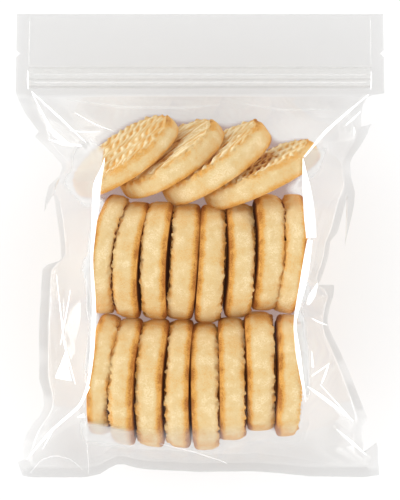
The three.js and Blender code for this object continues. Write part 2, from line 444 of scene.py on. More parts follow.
@dataclass(frozen=True)
class FilmFinish:
    """Clear glossy film: a tinted see-through sheet that mirrors more the flatter it is seen."""

    tint: Rgb = (0.966, 0.968, 0.968)
    # the film where it is denser, and painted shade in the spots
    dense_and_shade_tint: Rgb = (0.86, 0.853, 0.846)
    # painted shade: the back sheet's tint under and between the biscuits
    under_shade_tint: Rgb = (0.56, 0.42, 0.385)
    milk: Rgb = (0.52, 0.515, 0.505)
    # painted glow, which lifts the milky body's shading
    milk_painted_glow: float = 0.30
    milk_roughness: float = 0.6
    straight_gloss: float = 0.075
    touch_loss: float = 0.85  # of the gloss, where the film lies on the biscuits
    roughness: float = 0.06

    def build(self) -> Material:
        """The material: see-through, mixed with a milky body, mixed with a mirror by Schlick's rule.

        The haze_and_highlight attribute gives the milky share, which beside the block's edges is a painted
        highlight, the seal attribute where the film is denser and where its tint is painted
        darker as shade, the touch attribute where it lies on the biscuits and shines less, and the
        under_shade attribute where the back sheet is painted darker as shade under and between the
        biscuits. The milky body has a painted glow. Light on its way to a lamp passes unhindered, so the
        film casts no shadow.

        Returns:
            The material.
        """
        material, make = new_material("clear_film")
        facing = make.add("LayerWeight")
        make.set(facing, {"Blend": 0.5})
        grazing = make.math("POWER", facing.outputs["Facing"], 5.0)
        slanted = make.math("MULTIPLY", grazing, 1.0 - self.straight_gloss)
        gloss = make.math("ADD", slanted, self.straight_gloss)
        shine = make.math("MULTIPLY_ADD", make.value("touch"), -self.touch_loss, 1.0)
        gloss = make.math("MULTIPLY", gloss, shine)
        lit = make.lit()
        # the tint, painted darker as shade in the spots and under the biscuits
        tone = make.mix(make.value("seal"), rgba(self.tint), rgba(self.dense_and_shade_tint))
        tone = make.mix(make.value("under_shade"), tone, rgba(self.under_shade_tint))
        clear = make.add("BsdfTransparent")
        make.set(clear, {"Color": make.mix(lit, WHITE, tone)})
        body = make.add("BsdfPrincipled")
        make.set(body, {"Base Color": rgba(self.milk), "Roughness": self.milk_roughness})
        make.set(body, {"Specular IOR Level": 0.0, "Emission Strength": self.milk_painted_glow})
        make.set(body, {"Emission Color": rgba(self.milk)})
        mirror = make.add("BsdfGlossy")
        make.set(mirror, {"Color": WHITE, "Roughness": self.roughness})
        hazy = make.add("MixShader")
        milky = make.math("MULTIPLY", make.value("haze_and_highlight"), lit)
        make.set(hazy, {0: milky, 1: clear.outputs[0], 2: body.outputs[0]})
        film = make.add("MixShader")
        make.set(film, {0: make.math("MULTIPLY", gloss, lit), 1: hazy.outputs[0], 2: mirror.outputs[0]})
        make.set(material.node_tree.nodes["Out"], {"Surface": film.outputs[0]})
        return material


@dataclass(frozen=True)
class GlintFinish:
    """Painted highlight: film shown white with a glow where it would catch the light."""

    white: Rgb = (0.97, 0.97, 0.97)
    roughness: float = 0.4
    # painted glow of the white highlights
    shine: float = 0.35

    def build(self) -> Material:
        """The material: white by the strength attribute, and see-through for the rest.

        Returns:
            The material.
        """
        material, make = new_material("painted_glint_film")
        body = make.add("BsdfPrincipled")
        make.set(body, {"Base Color": rgba(self.white), "Roughness": self.roughness})
        make.set(body, {"Emission Color": rgba(self.white), "Emission Strength": self.shine})
        film = make.add("MixShader")
        clear = make.add("BsdfTransparent")
        share = make.math("MULTIPLY", make.value("strength"), make.lit())
        make.set(film, {0: share, 1: clear.outputs[0], 2: body.outputs[0]})
        make.set(material.node_tree.nodes["Out"], {"Surface": film.outputs[0]})
        return material


@dataclass(frozen=True)
class ZipFinish:
    """The zip's milky plastic: nearly clear, with darker lines where its ribs are thick."""

    tint: Rgb = (0.995, 0.995, 0.99)
    rib_tint: Rgb = (0.935, 0.93, 0.925)
    milk: Rgb = (0.80, 0.80, 0.795)
    roughness: float = 0.35
    milky_share: float = 0.07

    def build(self) -> Material:
        """The material: a see-through body, tinted by the line attribute, with a milky share.

        Returns:
            The material.
        """
        material, make = new_material("zip_plastic")
        lit = make.lit()
        clear = make.add("BsdfTransparent")
        tone = make.mix(make.value("line"), rgba(self.tint), rgba(self.rib_tint))
        make.set(clear, {"Color": make.mix(lit, WHITE, tone)})
        body = make.add("BsdfPrincipled")
        make.set(body, {"Base Color": rgba(self.milk), "Roughness": self.roughness})
        plastic = make.add("MixShader")
        share = make.math("MULTIPLY", lit, self.milky_share)
        make.set(plastic, {0: share, 1: clear.outputs[0], 2: body.outputs[0]})
        make.set(material.node_tree.nodes["Out"], {"Surface": plastic.outputs[0]})
        return material


@dataclass(frozen=True)
class FloorFinish:
    """A plain pale matt floor."""

    colour: Rgb = (0.40, 0.40, 0.40)
    darker: float = 0.985
    cloud_scale: float = 3.0  # per metre
    roughness: float = 0.9
    glow: float = 0.57

    def build(self) -> Material:
        """The material, with a broad and very faint unevenness.

        Returns:
            The material.
        """
        material, make = new_material("pale_floor")
        cloud = make.noise(make.add("TexCoord").outputs["Object"], self.cloud_scale, 1.0)
        darker = tuple(self.darker * c for c in self.colour)
        tone = make.mix(cloud, rgba(self.colour), rgba(darker))
        shader = make.add("BsdfPrincipled")
        make.set(shader, {"Base Color": tone, "Roughness": self.roughness})
        make.set(shader, {"Emission Color": WHITE, "Emission Strength": self.glow})
        make.set(material.node_tree.nodes["Out"], {"Surface": shader.outputs[0]})
        return material


# ---- biscuits ------------------------------------------------------------------------------------


class RidgedSide(Enum):
    """Which way a standing biscuit's ridged face points."""

    LEFT = -1
    RIGHT = 1


class Draw(IntEnum):
    """What is added to a biscuit's seed for each of its noises."""

    WANDER = 11
    BROKEN = 13
    CRUMB = 17
    BITES = 19
    ROUGH = 23
    DENTS = 29
    NEIGHBOUR_SHADOW = 31


@dataclass(frozen=True)
class Biscuit:
    """One round shortbread biscuit: a thick disc with a smooth back and a ridged, crumbly front.

    Its axis runs from the back to the ridged face. For a standing biscuit the axis is level, along X
    but for its turn and lean, and for a leaning one it points up and to the left.
    """

    name: str
    centre: tuple[float, float, float]
    turn: float  # degrees about Z from the pose that the axis gives
    lean: float  # degrees that the axis rises
    length: float  # across, along the pouch or along the leaning biscuit
    height: float  # across, upwards
    thick: float
    ridged: RidgedSide
    seed: int
    bend: float = 0.0  # how far its middle bows to +X, or along its axis if it leans
    bulges: tuple[float, float] = (0.8, 0.8)  # of the back and of the ridged face
    bakes_and_shade: tuple[float, float] = (1.15, 1.45)  # how brown the back and the ridged face are, painted shade included where they face a neighbour: 1 is brown
    ridge_turn: float = 25.0  # degrees between the ridges and the biscuit's long way
    edge_bake: float = 0.78  # how much browner the smooth edge is than the rim
    crumb_edge: float = 3.6  # radius of the crumbly edge at the front
    ridge_reach: float = 0.86  # where the ridges have run out, as a share of the way to the rim
    shading_neighbour: tuple[float, float, float] | None = None  # along, up and radius of the neighbour lying on it, which casts a painted shadow

    around: int = 192
    side_edge: float = 2.6  # radius of the smooth edge at the back
    back_rings: int = 16
    edge_rings: int = 10
    rim_rings: int = 16
    face_rings: int = 46
    ridge_pitch: float = 3.5
    ridge_height: float = 1.0
    row_pitch: float = 13.0  # between the rows that the ridges are broken into
    wobbles: tuple[tuple[int, float], ...] = ((2, 0.004), (3, 0.005), (5, 0.003))  # of the radius
    swells: tuple[tuple[int, float], ...] = ((1, 0.03), (2, 0.02))  # of the thickness
    crumb_size: float = 1.5
    crumb_height: float = 0.18
    bite_size: float = 1.9
    rough_size: float = 2.6
    rough_height: float = 0.14
    dent_size: float = 14.0
    dent_depth: float = 0.25
    rim_bake: float = 0.06  # how brown the rim is, and how much browner:
    front_bake: float = 0.36  # its front edge
    end_bake: float = 0.40  # its two ends
    valley_shade: float = 1.15  # painted shade in a valley between ridges
    neighbour_shadow: float = 0.70  # painted shadow where a neighbour lies on it
    back_edge_bake: float = 0.72  # how brown the back's outer ring is

    def profile(self) -> tuple[Array, Array, Array]:
        """The section from the middle of the back, round the rim, to the middle of the ridged face.

        Straight runs and quarter circles, closer together at the edges.

        Returns:
            For each ring the share of the way from the rim to the middle, the inset from the rim in
            millimetres, and the height over the back in millimetres.
        """
        back, edge, rim, face = self.back_rings, self.edge_rings, self.rim_rings, self.face_rings
        turn = np.linspace(0.0, np.pi / 2, edge)
        top = self.thick - self.crumb_edge
        shares = [np.linspace(0.97, 0.0, back, endpoint=False), np.zeros(2 * edge + rim)]
        shares = [*shares, np.linspace(0.0, 0.975, face + 1)[1:]]
        inset = [np.full(back, self.side_edge), self.side_edge * (1.0 - np.sin(turn)), np.zeros(rim)]
        inset = [*inset, self.crumb_edge * (1.0 - np.cos(turn)), np.full(face, self.crumb_edge)]
        level = [np.zeros(back), self.side_edge * (1.0 - np.cos(turn))]
        level = [*level, np.linspace(self.side_edge, top, rim + 2)[1:-1]]
        level = [*level, top + self.crumb_edge * np.sin(turn), np.full(face, self.thick)]
        return np.concatenate(shares), np.concatenate(inset), np.concatenate(level)

    def ridges(self, place: Array) -> Array:
        """The pattern across the ridged face: slanting ridges, thrown sideways from row to row.

        Args:
            place: Points in the biscuit's own frame.

        Returns:
            From 0 in the valleys to 1 on the crests, lower where a ridge is broken off.
        """
        across, up = place[..., 0], place[..., 1]
        away = math.radians(self.ridge_turn)
        over = -across * math.sin(away) + up * math.cos(away)
        wander = 0.6 * value_noise(place / 9.0, self.seed + Draw.WANDER)
        throw = 0.34 * self.ridge_pitch * np.sin(2.0 * np.pi * up / self.row_pitch + 0.02 * self.seed)
        crest = 0.5 + 0.5 * np.cos(2.0 * np.pi * (over + wander + throw) / self.ridge_pitch)
        broken = np.clip(0.9 + 0.5 * layered_noise(place / 4.2, self.seed + Draw.BROKEN, 2), 0.2, 1.1)
        return crest**1.3 * broken

    def surface(self) -> tuple[Array, Array]:
        """The biscuit's own surface as rings round its axis, in its own frame.

        A ring at angle a has radius (R(a) - inset) x (1 - share), where R swells and shrinks with a few
        slow waves, and sits at its level. Both faces bulge by their bulge x (1 - reach^8), and the whole
        is bowed by bend x (1 - (along / R)^2). Noise then moves each point along the surface's way out:
        coarse on the rim, jagged at the front edge, ridges across the front.

        Returns:
            An array of (rings, around, 3) points, with the axis along the third coordinate, and the bake
            value of each.
        """
        phase = np.random.default_rng(self.seed).uniform(0.0, 2.0 * np.pi, 6)
        shares, inset, level = (a[:, None] for a in self.profile())
        angle = np.linspace(0.0, 2.0 * np.pi, self.around, endpoint=False)[None, :]
        wobble = waved(self.wobbles, angle, phase[:3])
        swell = waved(self.swells, angle, phase[3:5])
        cos, sin = np.cos(angle), np.sin(angle)
        rim = 1.0 / np.sqrt((cos / (self.length / 2)) ** 2 + (sin / (self.height / 2)) ** 2)
        height = level / self.thick
        barrel = (0.35 * np.sin(np.pi * height) - 0.4 * height) * (shares == 0.0)
        radius = (rim * wobble - inset) * (1.0 - shares) + barrel
        across, up = radius * cos, radius * sin
        out = np.broadcast_to(level * swell, across.shape).copy()
        ring = np.arange(level.size)[:, None]
        first_front = self.back_rings + self.edge_rings + self.rim_rings
        is_front = np.broadcast_to(ring >= first_front, across.shape)
        is_back = np.broadcast_to(ring < self.back_rings, across.shape)
        is_face = np.broadcast_to(ring >= first_front + self.edge_rings, across.shape)
        place = np.stack([across, up, out], axis=-1)
        # the two faces
        reach = np.hypot(across, up) / rim
        fade = 1.0 - smoothstep(reach, self.ridge_reach - 0.12, self.ridge_reach)
        ridge = self.ridges(place)
        crumb = layered_noise(place / self.crumb_size, self.seed + Draw.CRUMB, 2)
        bulge = 1.0 - np.minimum(reach, 1.0) ** 8
        relief = self.ridge_height * (ridge - 0.5) + self.crumb_height * crumb
        out += is_front * (self.bulges[1] * bulge + relief * fade)
        out -= is_back * (self.bulges[0] * bulge + 0.1 * crumb * fade)
        # the crumbly front edge and the rest of the rim
        edge = smoothstep(level, self.thick - 0.8 * self.crumb_edge, self.thick)
        edge = edge * smoothstep(reach, 0.80, 0.88)
        bites = layered_noise(place / self.bite_size, self.seed + Draw.BITES, 3)
        notch = np.minimum(bites + 0.1, 0.0) * 1.5 + np.minimum(np.maximum(bites - 0.25, 0.0) * 2.4, 1.1)
        rough = self.rough_height * layered_noise(place / self.rough_size, self.seed + Draw.ROUGH, 3)
        rough = rough + self.dent_depth * value_noise(place / self.dent_size, self.seed + Draw.DENTS)
        push = 0.6 * edge * notch + (~is_face & ~is_back) * rough
        grow = 1.0 + push / np.maximum(np.hypot(across, up), 6.0)
        across, up = across * grow, up * grow
        out += edge * 0.8 * notch
        out += self.ridged.value * self.bend * (1.0 - (across / (self.length / 2)) ** 2)
        # how brown each point is baked, and where painted shade is added
        near_back = 1.0 - smoothstep(level, 0.3 * self.side_edge, 4.4)
        near_front = smoothstep(level, self.thick - 2.4, self.thick)
        ends = smoothstep(np.abs(cos), 0.80, 1.0)
        bake_and_shade = self.rim_bake + self.edge_bake * near_back
        bake_and_shade = bake_and_shade + self.front_bake * near_front + self.end_bake * ends
        # the ridged face: its tone, with painted shade in the valleys between ridges
        ridged = self.bakes_and_shade[1] + self.valley_shade * (0.55 - ridge) * fade
        bake_and_shade = np.where(is_face, bake_and_shade + (ridged - bake_and_shade) * (1.0 - smoothstep(reach, 0.84, 0.97)), bake_and_shade)
        # painted shadow of the leaning neighbour: a jagged dark band along its edge, on the face only
        if self.shading_neighbour is not None:
            away = np.hypot(across - self.shading_neighbour[0], up - self.shading_neighbour[1]) - self.shading_neighbour[2]
            jagged = away + 1.3 * layered_noise(place / 1.6, self.seed + Draw.NEIGHBOUR_SHADOW, 2)
            shade = (1.0 - smoothstep(jagged, -0.6, 2.0)) * (1.0 - smoothstep(across, 2.0, 13.0))
            bake_and_shade = bake_and_shade + self.neighbour_shadow * is_face * shade
        # the back: paler at its outer ring, and its middle at its own tone, which is painted shade where it
        # faces a neighbour
        back_middle = 1.0 - smoothstep(reach, 0.84, 0.93)
        paler = self.back_edge_bake
        bake_and_shade = np.where(is_back, paler + (self.bakes_and_shade[0] - paler) * back_middle, bake_and_shade)
        return np.stack([across, up, out - self.thick / 2], axis=-1), bake_and_shade

    def axes(self) -> Array:
        """The biscuit's frame in the pouch's.

        Returns:
            Its three directions, one to a row: along, up and axis.
        """
        turn, lean = math.radians(self.turn), math.radians(self.lean)
        side = self.ridged.value
        level = side * math.cos(lean)
        axis = np.array([math.cos(turn) * level, math.sin(turn) * level, math.sin(lean)])
        across = np.cross((0.0, 0.0, 1.0), axis)
        across /= np.linalg.norm(across)
        up = np.cross(axis, across)
        return np.stack([across, up, axis])

    def points(self) -> tuple[Array, Array]:
        """The surface in the pouch's frame and the bake values."""
        local, bake_and_shade = self.surface()
        return local @ self.axes() + np.array(self.centre), bake_and_shade

    def build(self, material: Material) -> tuple[Piece, Array]:
        """The biscuit's object.

        Args:
            material: The finish.

        Returns:
            The object and its points in millimetres.
        """
        rings, bake_and_shade = self.points()
        points = with_poles(rings)
        quads = tube_quads(len(rings), self.around)
        piece = make_piece(self.name, points, quads, {"bake_and_shade": with_poles(bake_and_shade)})
        piece.data.materials.append(material)
        return piece, points


@dataclass
class Contents:
    """The twenty biscuits: two rows on edge and four that lean above them."""

    floor: float = 0.75  # the back film under the rims

    # x, y, swing of the far end to +X, lean to +X, bow to +X, length, height, thickness, ridged side
    upper_row: tuple[tuple, ...] = (
        (-47.5, -4.2, 7.7, -1.8, -3.4, 64.0, 61.6, 11.0, RidgedSide.RIGHT),
        (-35.3, -7.3, 5.4, -2.6, -2.6, 62.2, 61.8, 12.7, RidgedSide.LEFT),
        (-21.8, -7.5, 3.4, -1.8, -1.6, 63.0, 62.0, 12.6, RidgedSide.LEFT),
        (-8.5, -8.0, 4.2, 0.0, 0.5, 62.0, 61.6, 13.5, RidgedSide.LEFT),
        (5.1, -9.3, 3.2, 0.4, 0.4, 63.0, 62.0, 12.8, RidgedSide.RIGHT),
        (19.8, -7.4, 0.8, 1.9, 1.3, 61.2, 61.6, 13.0, RidgedSide.RIGHT),
        (34.5, -3.1, 1.7, 2.6, 1.6, 62.0, 61.8, 12.6, RidgedSide.RIGHT),
        (47.7, -4.0, 4.8, 3.0, 1.4, 64.0, 61.6, 10.8, RidgedSide.LEFT),
    )
    lower_row: tuple[tuple, ...] = (
        (-51.0, -68.6, 5.5, -1.0, -1.9, 64.4, 61.6, 10.4, RidgedSide.RIGHT),
        (-38.2, -72.6, 3.7, -1.6, -2.2, 68.0, 62.0, 11.6, RidgedSide.LEFT),
        (-23.7, -73.0, 2.7, -2.0, -1.9, 68.0, 61.8, 12.6, RidgedSide.LEFT),
        (-9.7, -73.5, 1.3, -1.6, -1.4, 68.8, 62.0, 11.6, RidgedSide.LEFT),
        (3.2, -75.0, -0.8, -1.2, -0.6, 68.0, 61.8, 13.4, RidgedSide.RIGHT),
        (16.5, -71.2, -0.7, -0.8, 0.7, 66.0, 62.0, 13.0, RidgedSide.RIGHT),
        (31.4, -66.9, -1.4, -0.7, 0.7, 63.6, 61.6, 13.7, RidgedSide.RIGHT),
        (46.6, -69.1, 0.4, -0.6, 1.0, 65.2, 61.6, 11.8, RidgedSide.RIGHT),
    )
    # x, y, long way from +X, rise of the ridged face, length, height, thickness, ridges from the long way
    leaning: tuple[tuple, ...] = (
        (-40.1, 48.7, 34.6, 20.0, 64.5, 59.4, 8.6, 52.0),
        (-15.3, 47.3, 33.0, 19.0, 62.5, 59.4, 10.0, 8.0),
        (8.7, 44.8, 33.7, 15.0, 65.6, 59.4, 11.6, 36.0),
        (33.2, 38.3, 26.0, 10.5, 66.6, 59.4, 10.8, 58.0),
    )
    gap_shade_faces: tuple[float, float] = (2.05, 1.45)  # painted shade: how dark backs and ridged faces are in the gaps between biscuits
    golden_face: float = 0.42  # and where they face outwards
    pale_face: float = 0.0  # and the leaning biscuits' ridged faces
    pale_edge: float = 0.50  # and their smooth edges
    closed: float = 0.15  # how far the standing biscuits' bulging faces press into each other
    least_bulge: float = 0.5
    leaning_bulges: tuple[float, float] = (0.6, 1.6)
    leaning_crumb_edge: float = 2.6
    leaning_ridge_reach: float = 0.95

    def bulges(self, row: tuple[tuple, ...]) -> list[tuple[float, float]]:
        """How far each biscuit's back and ridged face bulge, so that neighbours meet half way.

        Args:
            row: The row's table.

        Returns:
            The bulge of the back and of the ridged face, biscuit by biscuit.
        """
        least = self.least_bulge
        gaps = [right[0] - left[0] - (right[7] + left[7]) / 2 for left, right in zip(row[:-1], row[1:])]
        halves = [least, *(max(gap / 2 + self.closed, least) for gap in gaps), least]
        sides = zip(halves[:-1], halves[1:])
        return [(a, b) if entry[8] is RidgedSide.RIGHT else (b, a) for entry, (a, b) in zip(row, sides)]

    def bakes_and_shade(self, number: int, side: RidgedSide) -> tuple[float, float]:
        """How brown a standing biscuit's back and ridged face are: painted shade where they face a
        neighbour between two biscuits, else golden.

        Args:
            number: The biscuit's number in its row, from 1.
            side: The way that its ridged face points.

        Returns:
            The tone of the back and of the ridged face, painted shade included.
        """
        outer = {1: RidgedSide.LEFT, len(self.upper_row): RidgedSide.RIGHT}.get(number)
        back = self.golden_face if outer is not None and outer is not side else self.gap_shade_faces[0]
        return back, self.golden_face if outer is side else self.gap_shade_faces[1]

    def rest_height(self, height: float, thick: float, degrees: float) -> float:
        """The height of a biscuit's middle when it stands on the back film, tilted by some degrees."""
        tilt = abs(math.radians(degrees))
        return self.floor + (height / 2 * math.cos(tilt) + thick / 2 * math.sin(tilt))

    def standing(self, title: str, row: tuple[tuple, ...], before: int) -> list[Biscuit]:
        """One row of biscuits on edge.

        Args:
            title: The row's name.
            row: The row's table.
            before: How many biscuits were made before it, which sets the seeds.

        Returns:
            The row's biscuits from the left.
        """
        made = []
        for i, (entry, bulges) in enumerate(zip(row, self.bulges(row)), start=1):
            x, y, swing, lean, bow, length, height, thick, side = entry
            centre = (x, y, self.rest_height(height, thick, lean))
            size = {"length": length, "height": height, "thick": thick, "bend": bow, "bulges": bulges}
            # a lean to the right lifts the axis on the side that it points away from
            look = {"turn": -swing, "lean": -lean * side.value, "bakes_and_shade": self.bakes_and_shade(i, side)}
            seed = SEED_STEP * (before + len(made)) + FIRST_SEED
            made.append(Biscuit(f"biscuit_{title}_{i}", centre, ridged=side, seed=seed, **size, **look))
        return made

    def biscuits(self) -> list[Biscuit]:
        """Every biscuit.

        Returns:
            The biscuits, row by row from the left, and then the leaning ones.
        """
        made = self.standing("upper", self.upper_row, 0)
        made += self.standing("lower", self.lower_row, len(made))
        for i, (x, y, way, rise, length, height, thick, ridges) in enumerate(self.leaning, start=1):
            centre = (x, y, self.rest_height(height, thick, rise))
            size = {"length": length, "height": height, "thick": thick, "bulges": self.leaning_bulges}
            edges = {"crumb_edge": self.leaning_crumb_edge, "ridge_reach": self.leaning_ridge_reach}
            # the axis points up-left, a quarter turn from the long way
            pose = {"turn": way - 90.0, "lean": rise, "ridged": RidgedSide.LEFT}
            look = {"edge_bake": self.pale_edge, "bakes_and_shade": (self.golden_face, self.pale_face)}
            look["ridge_turn"] = ridges
            seed = SEED_STEP * len(made) + FIRST_SEED
            biscuit = Biscuit(f"biscuit_leaning_{i}", centre, seed=seed, **pose, **size, **edges, **look)
            if i > 1:
                across, up, _ = biscuit.axes() @ np.subtract(made[-1].centre, biscuit.centre)
                biscuit = replace(biscuit, shading_neighbour=(float(across), float(up), height / 2))
            made.append(biscuit)
        return made

    def build(self, material: Material) -> Array:
        """Makes the biscuits.

        Args:
            material: The finish.

        Returns:
            All their points in millimetres, which the film lies over.
        """
        clouds = []
        for biscuit in self.biscuits():
            piece, points = biscuit.build(material)
            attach(piece, BODY)
            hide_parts("pouch")
            clouds.append(points)
            log.info("%s: %d faces", piece.name, len(piece.data.polygons))
        return np.concatenate(clouds)


# ---- film ----------------------------------------------------------------------------------------


@dataclass(frozen=True)
class Crease:
    """A straight crease in the film, seen from above: a tent that stands out from the drape.

    It stands out by one lift at its start and another at its end, in a straight line between, and falls
    to nothing at its reach, which may differ on the left and on the right of the way from start to end.
    A negative lift is a valley.
    """

    start: tuple[float, float]
    end: tuple[float, float]
    lifts: tuple[float, float]
    reaches: tuple[float, float]

    def relief(self, x: Array, y: Array) -> Array:
        """How far the tent stands out at each place: lift x (1 - distance / reach), never past 0.

        Args:
            x: Places across the pouch.
            y: Places along it.

        Returns:
            The height to add at each place.
        """
        run = np.subtract(self.end, self.start)
        length = float(np.hypot(*run))
        share = ((x - self.start[0]) * run[0] + (y - self.start[1]) * run[1]) / length**2
        side = (run[0] * (y - self.start[1]) - run[1] * (x - self.start[0])) / length
        reach = np.where(side > 0.0, self.reaches[0], self.reaches[1])
        lift = self.lifts[0] + (self.lifts[1] - self.lifts[0]) * np.clip(share, 0.0, 1.0)
        beyond = np.maximum(np.maximum(-share, share - 1.0), 0.0) * length
        return lift * np.clip(1.0 - np.abs(side) / reach - beyond / min(self.reaches), 0.0, 1.0)


@dataclass(frozen=True)
class HazeAndHighlightPatch:
    """A milky patch of film: folded over itself, and beside the block's edges a painted highlight. It is a
    convex polygon whose sides are crisp or soft.
    """

    most: float
    # anticlockwise: x, y, and how soft the side from there is
    sides: tuple[tuple[float, float, float], ...]

    def haze_and_highlight(self, x: Array, y: Array) -> Array:
        """How milky the patch is: the most of it inside, rising from nothing at each side.

        Args:
            x: Places across the pouch.
            y: Places along it.

        Returns:
            The haze at each place.
        """
        share = np.ones(x.shape)
        for (ax, ay, softness), (bx, by, _) in zip(self.sides, (*self.sides[1:], self.sides[0])):
            inside = ((bx - ax) * (y - ay) - (by - ay) * (x - ax)) / math.hypot(bx - ax, by - ay)
            share = np.minimum(share, smoothstep(inside, 0.0, softness))
        return self.most * share


@dataclass(frozen=True)
class Spot:
    """A soft oval spot on the front of the pouch, where the film looks a bit different."""

    x: float
    y: float
    reach_x: float
    reach_y: float
    amount: float

    def value(self, x: Array, y: Array) -> Array:
        """The spot's value at each place: its amount x exp(-distance^2), with distances in its reaches."""
        away = ((x - self.x) / self.reach_x) ** 2 + ((y - self.y) / self.reach_y) ** 2
        return self.amount * np.exp(-away)


@dataclass(frozen=True)
class SideBand:
    """One welded side of the pouch as it lies: buckled into teeth and pointed flaps.

    Each table is by station, the place along the pouch before anything is pulled. The edge can be
    shifted along the pouch too, which bends the band into a flap with a slit beside it.
    """

    side: int
    outline: Table  # station, x of the edge
    shift: Table  # station, how far the edge is pulled along Y
    width: Table  # station, how far in from the plain outline the weld ends
    hinge: Table  # station, x of the line that a flap hangs from

    def edge(self, station: Array) -> tuple[Array, Array]:
        """The band's outer edge: its x, and how far it is pulled along Y."""
        return along(self.outline, station), along(self.shift, station)


def spread_max(field: Array) -> Array:
    """The largest of each cell and its eight neighbours.

    Args:
        field: Values by row and column.

    Returns:
        The largest values.
    """
    padded = np.pad(field, 1, mode="edge")
    rows, columns = field.shape
    shifted = [padded[a : a + rows, b : b + columns] for a in range(3) for b in range(3)]
    return np.max(shifted, axis=0)


def blurred(field: Array, passes: int) -> Array:
    """A field after binomial blurs, each of which weighs a cell and its neighbours 1, 2, 1 both ways.

    Args:
        field: Values by row and column.
        passes: The number of blurs.

    Returns:
        The blurred values.
    """
    for _ in range(passes):
        padded = np.pad(field, 1, mode="edge")
        across = (padded[:, :-2] + 2.0 * padded[:, 1:-1] + padded[:, 2:]) / 4.0
        field = (across[:-2] + 2.0 * across[1:-1] + across[2:]) / 4.0
    return field


def relaxed(field: Array, low: Array, high: Array, steps: Steps, rounds: int) -> Array:
    """Stretches a sheet over and under what it touches.

    Every inner point moves to where straight lines between its neighbours would have it, across and
    along, the nearer pair counting more, and a bit past that to settle sooner. It is then held between
    low and high. Points take turns as on a chessboard. The outermost points stay.

    Args:
        field: The sheet's first heights.
        low: The least height at each point.
        high: The greatest height at each point.
        steps: The distances to the neighbours.
        rounds: How many times every point moves.

    Returns:
        The settled heights.
    """
    push = 1.85
    field = field.copy()
    inner = field[1:-1, 1:-1]
    parity = np.indices(inner.shape).sum(axis=0) % 2
    floor, roof = low[1:-1, 1:-1], high[1:-1, 1:-1]
    (west, east), (south, north) = steps
    across_weight = 1.0 / (west * east)
    along_weight = 1.0 / (south * north)
    total = across_weight + along_weight
    for turn in range(2 * rounds):
        across = (field[1:-1, :-2] * east + field[1:-1, 2:] * west) / (west + east)
        down = (field[:-2, 1:-1] * north + field[2:, 1:-1] * south) / (south + north)
        mean = (across * across_weight + down * along_weight) / total
        moved = np.clip(inner + push * (mean - inner), floor, roof)
        mine = parity == turn % 2
        inner[mine] = moved[mine]
    return field


@dataclass(frozen=True)
class ZipStrip:
    """The press-to-close zip between the header's two sheets: a thin band with three ribs along it."""

    half_length: float = 93.0
    low: float = 85.8
    high: float = 97.8
    slope: float = 0.3  # how wide the slopes at the band's edges are
    flange: float = 0.25  # half the band's thickness
    rib_height: float = 0.3  # on either side of the band
    ribs: tuple[tuple[float, float, float], ...] = (
        (86.7, 1.0, 1.0), (90.9, 0.7, 0.7), (97.2, 0.6, 0.6),
    )  # y, half the width, and how dark its line is
    lengthwise: int = 81
    crosswise: int = 81

    def rib_shares(self, y: Array) -> Array:
        """How much of each rib stands at each place, rib by rib."""
        return np.stack([1.0 - smoothstep(np.abs(y - at), 0.35 * half, half) for at, half, _ in self.ribs])

    def half_height(self, y: Array) -> Array:
        """Half the zip's thickness: the band's and the tallest rib's, and nothing outside it.

        Args:
            y: Places along the pouch, so across the zip.

        Returns:
            The half thickness at each place.
        """
        inside = smoothstep(y, self.low, self.low + self.slope)
        inside = inside * (1.0 - smoothstep(y, self.high - self.slope, self.high))
        return inside * (self.flange + self.rib_height * self.rib_shares(y).max(axis=0))

    def build(self, header_height: Callable[[Array], Array], material: Material) -> Piece:
        """The zip's object: its section's upper and lower line, swept along X and tapered at both ends.

        Args:
            header_height: Gives the height of the header's middle at places along the pouch.
            material: The zip's finish.

        Returns:
            The object.
        """
        x = np.linspace(-self.half_length, self.half_length, self.lengthwise)[:, None]
        over = np.linspace(self.high, self.low, self.crosswise)
        y = np.concatenate([over, over[-2:0:-1]])[None, :]
        side = np.concatenate([np.ones(self.crosswise), -np.ones(self.crosswise - 2)])[None, :]
        taper = smoothstep(self.half_length - np.abs(x), -0.5, 3.0)
        z = header_height(y) + side * self.half_height(y) * taper
        rings = np.stack(np.broadcast_arrays(x, y, z), axis=-1)
        darkness = np.array([dark for _, _, dark in self.ribs])[:, None, None]
        line = np.broadcast_to((self.rib_shares(y) * darkness).max(axis=0), rings.shape[:2])
        quads = tube_quads(*rings.shape[:2])
        piece = make_piece("press_to_close_zip", with_poles(rings), quads, {"line": with_poles(line)})
        piece.data.materials.append(material)
        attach(piece, BODY)
        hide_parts("zip_strip")
        return piece


@dataclass(frozen=True)
class FilmTop:
    """The front sheet as it lies, read at any place over the plan."""

    x: Array
    station: Array
    height: Array
    shift: Array  # how far each point is pulled along Y

    def row_values(self, rows: Array, x: Array, values: Array) -> Array:
        """Values by straight lines between a row's points, with a row of its own for each place.

        Args:
            rows: The row for each place.
            x: The places across.
            values: The sheet's values, by row and column.

        Returns:
            The value at each place.
        """
        line = self.x[rows]
        column = np.clip((line < x[:, None]).sum(axis=1) - 1, 0, line.shape[1] - 2)
        place = np.arange(x.size)
        left, right = line[place, column], line[place, column + 1]
        share = np.clip((x - left) / np.maximum(right - left, 1.0e-6), 0.0, 1.0)
        return values[rows, column] * (1.0 - share) + values[rows, column + 1] * share

    def lay(self, x: Array, y: Array) -> Array:
        """The points of the sheet over places in the plan.

        Args:
            x: Places across, in one list.
            y: Places along, in one list.

        Returns:
            An array of (n, 3) points.
        """
        row = np.interp(y, self.station, np.arange(self.station.size))
        low = np.minimum(row.astype(int), self.station.size - 2)
        share = row - low
        values = []
        for layer in (self.shift, self.height):
            lower, upper = (self.row_values(low + k, x, layer) for k in (0, 1))
            values.append(lower * (1.0 - share) + upper * share)
        return np.stack([x, y + values[0], values[1]], axis=-1)


